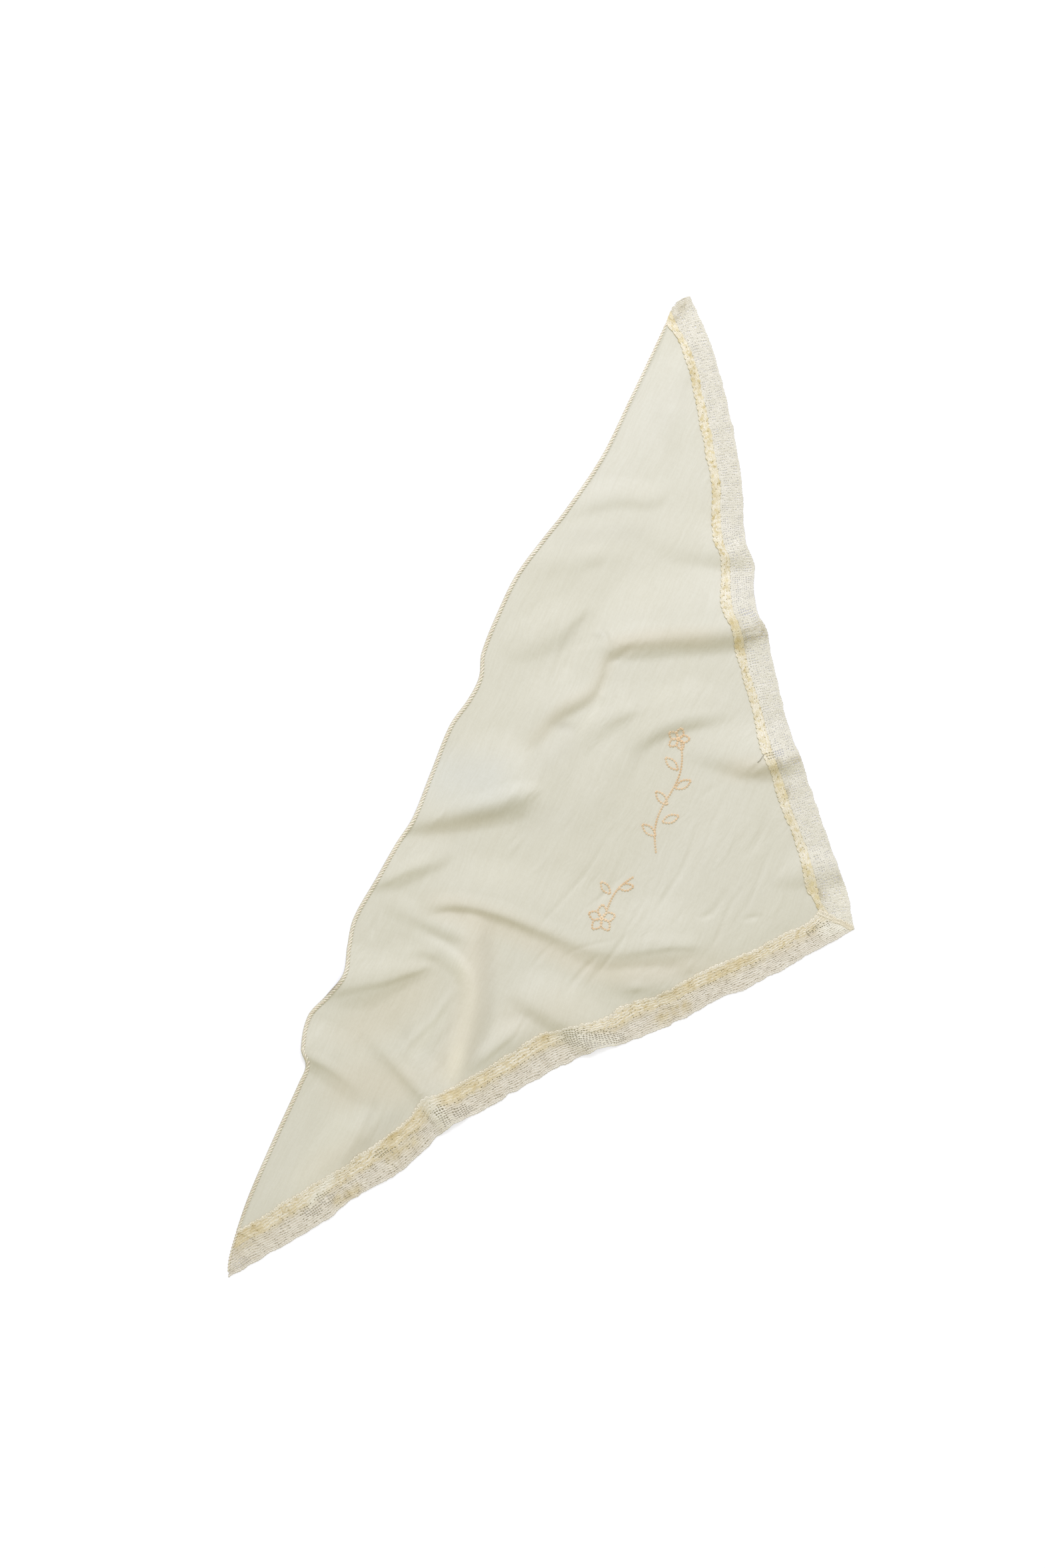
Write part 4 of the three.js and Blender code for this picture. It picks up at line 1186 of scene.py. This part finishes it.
def chain_stitches(path):
    """A line of chain stitch: one small loop after another along a path of x, y points."""
    run = np.r_[0, np.cumsum(np.hypot(*np.diff(path, axis=0).T))]
    count = max(2, round(run[-1] / STITCH_PITCH))
    at = (np.arange(count) + 0.5) * run[-1] / count

    def point(shift):
        return np.column_stack([np.interp(at + shift, run, values) for values in path.T])

    middle, way = point(0), point(0.5) - point(-0.5)
    way /= np.linalg.norm(way, axis=1, keepdims=True)
    turn = np.linspace(0, 2 * math.pi, 10)
    along = 0.66 * np.cos(turn)
    aside = 0.5 * np.sin(turn) * (1 - 0.25 * np.cos(turn))
    x = middle[:, :1] + way[:, :1] * along - way[:, 1:] * aside
    y = middle[:, 1:] + way[:, 1:] * along + way[:, :1] * aside
    z = on_cloth(x, y) + 0.3 + 0.15 * np.cos(turn)
    return 0, *tubes(x, y, z, *CHAIN_THREAD)


def leaf(x, y, length, width, angle):
    """The outline of a leaf that grows from x, y at an angle in degrees."""
    t = np.linspace(0, 1, 24)
    along = np.r_[t, t[::-1]] * length
    aside = np.r_[np.sin(math.pi * t), -np.sin(math.pi * t[::-1])] * width / 2
    a = math.radians(angle)
    return np.column_stack([
        x + along * math.cos(a) - aside * math.sin(a), y + along * math.sin(a) + aside * math.cos(a),
    ])


def flower(x, y, radius, petals, turn):
    return [leaf(x, y, radius, radius * 0.62, turn + 360 * k / petals) for k in range(petals)]


def bow(x0, y0, x1, y1, rise, bends=1):
    """A stem from one point to another, which waves to one side and back."""
    t = np.linspace(0, 1, 60)
    length = math.hypot(x1 - x0, y1 - y0)
    aside = rise * np.sin(bends * math.pi * t)
    return np.column_stack([
        x0 + (x1 - x0) * t - (y1 - y0) / length * aside,
        y0 + (y1 - y0) * t + (x1 - x0) / length * aside,
    ])


def sprigs():
    """Two small sprigs along the long side."""
    small = [bow(-38, 2, -6, -6, 3.5), leaf(-26, 5, 12, 5.5, 62), leaf(-19, 1, 12, 5.5, -58)]
    small += flower(-46, 3, 11, 5, 20)
    large = [bow(18, -14, 106, 6, 5, 2)]
    for x, y, angle in [(30, -8, 74), (42, -8, -44), (56, -6, 66), (70, -6, -38), (84, -2, 70)]:
        large.append(leaf(x, y, 14, 6, angle))
    large += flower(106, 8, 9, 5, 8)
    return joined([chain_stitches(path) for path in small + large])


# ---- Camera, lights, floor ----
def make_camera():
    data = bpy.data.cameras.new("camera")
    data.lens = LENS
    data.sensor_width = SENSOR
    camera = linked(bpy.data.objects.new("camera", data))
    right = np.cross(PICTURE_UP, UP)
    distance = PICTURE_HEIGHT * LENS / SENSOR
    matrix = np.eye(4)
    matrix[:3, :3] = np.column_stack([right, PICTURE_UP, UP])
    matrix[:3, 3] = np.array([*CAMERA_OVER, distance]) * MM
    camera.matrix_world = Matrix(matrix)
    bpy.context.scene.camera = camera


def seen_share(tree):
    """1 for the rays that show the background: from the camera, in gloss and through glass."""
    path = tree.nodes.new("ShaderNodeLightPath").outputs
    value = path["Is Camera Ray"]
    for name in ("Is Glossy Ray", "Is Transmission Ray"):
        value = calculated(tree, "MAXIMUM", value, path[name])
    return value


def make_world():
    world = bpy.data.worlds.new("studio")
    world.use_nodes = True
    tree = world.node_tree
    unseen = (*[c * (1 - LAMP_SHARE) for c in WORLD_COLOUR], 1)
    colour = mixed(tree, unseen, (*WHITE, 1), seen_share(tree))
    plug(tree, tree.nodes["Background"], {"Color": colour})
    bpy.context.scene.world = world


def make_lamp():
    """A square softbox beyond the top of the picture."""
    data = bpy.data.lights.new("softbox", "AREA")
    data.size = LAMP_SIZE
    data.color = LAMP_COLOUR
    elevation, turn = math.radians(LAMP_ELEVATION), math.radians(LAMP_AZIMUTH)
    data.energy = LAMP_SHARE * math.pi**2 * LAMP_DISTANCE**2 / math.sin(elevation)
    towards = Vector((
        math.cos(elevation) * math.cos(turn), math.cos(elevation) * math.sin(turn), math.sin(elevation),
    ))
    lamp = linked(bpy.data.objects.new("softbox", data))
    lamp.rotation_mode = "QUATERNION"
    lamp.rotation_quaternion = towards.to_track_quat("Z", "Y")
    lamp.location = LAMP_OVER + towards * LAMP_DISTANCE


def unshaded_share(tree):
    """How open the floor lies: less beneath the left strip's raised net, where its glow is dimmed to a
    painted shade.
    """
    place = add(tree, "TexCoord", {}, "Object")
    from_left = add(tree, "MapRange", {
        "Value": add(tree, "SeparateXYZ", {"Vector": place}, "X"), "From Min": 0.02, "From Max": 0.04,
    }, "Result")
    hidden = add(tree, "AmbientOcclusion", {"Distance": 0.012}, "AO")
    return calculated(tree, "MAXIMUM", from_left, hidden)


def make_floor():
    """White where it is seen, with a painted shade under the left strip's net; what it throws back on
    the cloth is duller.
    """
    half = FLOOR_SIZE / 2
    points = [[-half, -half, 0], [half, -half, 0], [half, half, 0], [-half, half, 0]]
    material, tree, shader = new_material("floor", 1.0, 0.0)
    seen = seen_share(tree)
    glow_share = ramp(tree, unshaded_share(tree), (0.1, SHADED_GLOW), (0.65, WHITE))
    glow = mixed(tree, (*BLACK, 1), (*FLOOR_GLOW, 1), seen)
    plug(tree, shader, {
        "Base Color": mixed(tree, (*FLOOR_BOUNCE, 1), (*FLOOR_WHITE, 1), seen),
        "Emission Color": multiplied(tree, glow, glow_share), "Emission Strength": 1.0,
    })
    floor = mesh_object("floor", np.array(points), {0: [np.array([[0, 1, 2, 3]])]}, material)


# ---- The whole ----
panel = make_panel()
left_strip = Strip(lace_outer_left, LACE_END_LEFT, CORNER_X + 0.5, LEFT_X, -1)
right_strip = Strip(lace_outer_right, LACE_END_RIGHT, CORNER_X - 0.5, RIGHT_X, 1)
# How knotted the thread is, and its dark and light shades in the gaps, on the ridges and where golden;
# the darker gap shades are painted shade between the ribs.
left_thread = net_material(
    "left_thread", 0.3, ((0.62, 0.55, 0.42), (0.78, 0.72, 0.60)),
    ((0.86, 0.81, 0.71), (0.96, 0.92, 0.83)), ((0.64, 0.54, 0.33), (0.82, 0.73, 0.52)),
)
right_thread = net_material(
    "right_thread", 0.5, ((0.74, 0.70, 0.58), (0.83, 0.79, 0.68)),
    ((0.85, 0.82, 0.70), (0.93, 0.90, 0.80)), ((0.48, 0.42, 0.27), (0.68, 0.62, 0.46)),
)
wide_heading_thread = net_material(
    "wide_heading_thread", 0.3, ((0.74, 0.64, 0.42), (0.86, 0.77, 0.57)),
    ((0.95, 0.90, 0.76), (0.98, 0.95, 0.86)), ((0.64, 0.52, 0.28), (0.86, 0.75, 0.50)),
)
narrow_heading_thread = net_material(
    "narrow_heading_thread", 0.3, ((0.78, 0.70, 0.48), (0.88, 0.81, 0.62)),
    ((0.93, 0.88, 0.74), (0.98, 0.94, 0.84)), ((0.62, 0.50, 0.24), (0.84, 0.74, 0.46)),
)
mitre_thread = thread_material("mitre_thread", (0.92, 0.84, 0.66), (0.98, 0.93, 0.79))
grey_thread = thread_material("grey_thread", (0.30, 0.28, 0.22), (0.42, 0.40, 0.33))
hem_gold = thread_material("hem_gold", (0.88, 0.83, 0.66), (0.96, 0.92, 0.78), tones=True)
hem_tan = thread_material("hem_tan", (0.86, 0.77, 0.63), (0.95, 0.88, 0.76), tones=True)
apricot_thread = thread_material("apricot_thread", (0.92, 0.68, 0.43), (0.97, 0.78, 0.55))

# strip, chart, from and to what share of its width, how many small holes are open, how high the
# ribs are, how much thread there is in the valleys and round the holes, seed, thread
nets = {
    "filet_left": (left_strip, BODY_LEFT, 0.365, 0.985, 0.45, 0.68, 0.36, 0.45, 41, left_thread),
    "filet_right": (right_strip, BODY_RIGHT, 0.255, 0.985, 0.6, 0.38, 0.5, 0.6, 42, right_thread),
    "heading_left": (
        left_strip, HEADING_WIDE, 0.01, 0.39, 0.22, 0.7, 0.3, 0.35, 43, wide_heading_thread,
    ),
    "heading_right": (
        right_strip, HEADING_NARROW, 0.01, 0.28, 0.22, 0.62, 0.35, 0.35, 44, narrow_heading_thread,
    ),
}
lace_pieces = [make_net(name, *net) for name, net in nets.items()]
hem = mesh_object("hem_stitches", *joined(hem_stitches()), hem_gold, hem_tan)
hem_x, hem_y = np.array([vertex.co[:2] for vertex in hem.data.vertices]).T / MM
# The hem's stitches carry the same painted shade and painted light.
set_attribute(hem, "darker", 0.5 + value_at(hem_x, hem_y, SHADING_GRID))
seam = joined([*mitre_stitches(), thread_end()])
mitre = mesh_object("mitre_stitches", *seam, mitre_thread, grey_thread)
sprig = mesh_object("sprig_stitches", *sprigs(), apricot_thread)
pieces = (panel, *lace_pieces, hem, mitre, sprig)

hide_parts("panel")
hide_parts("lace_left")
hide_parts("lace_right")
for piece in pieces:
    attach(piece, "root")

make_camera()
make_world()
make_lamp()
make_floor()
bpy.context.scene.view_settings.view_transform = "Standard"
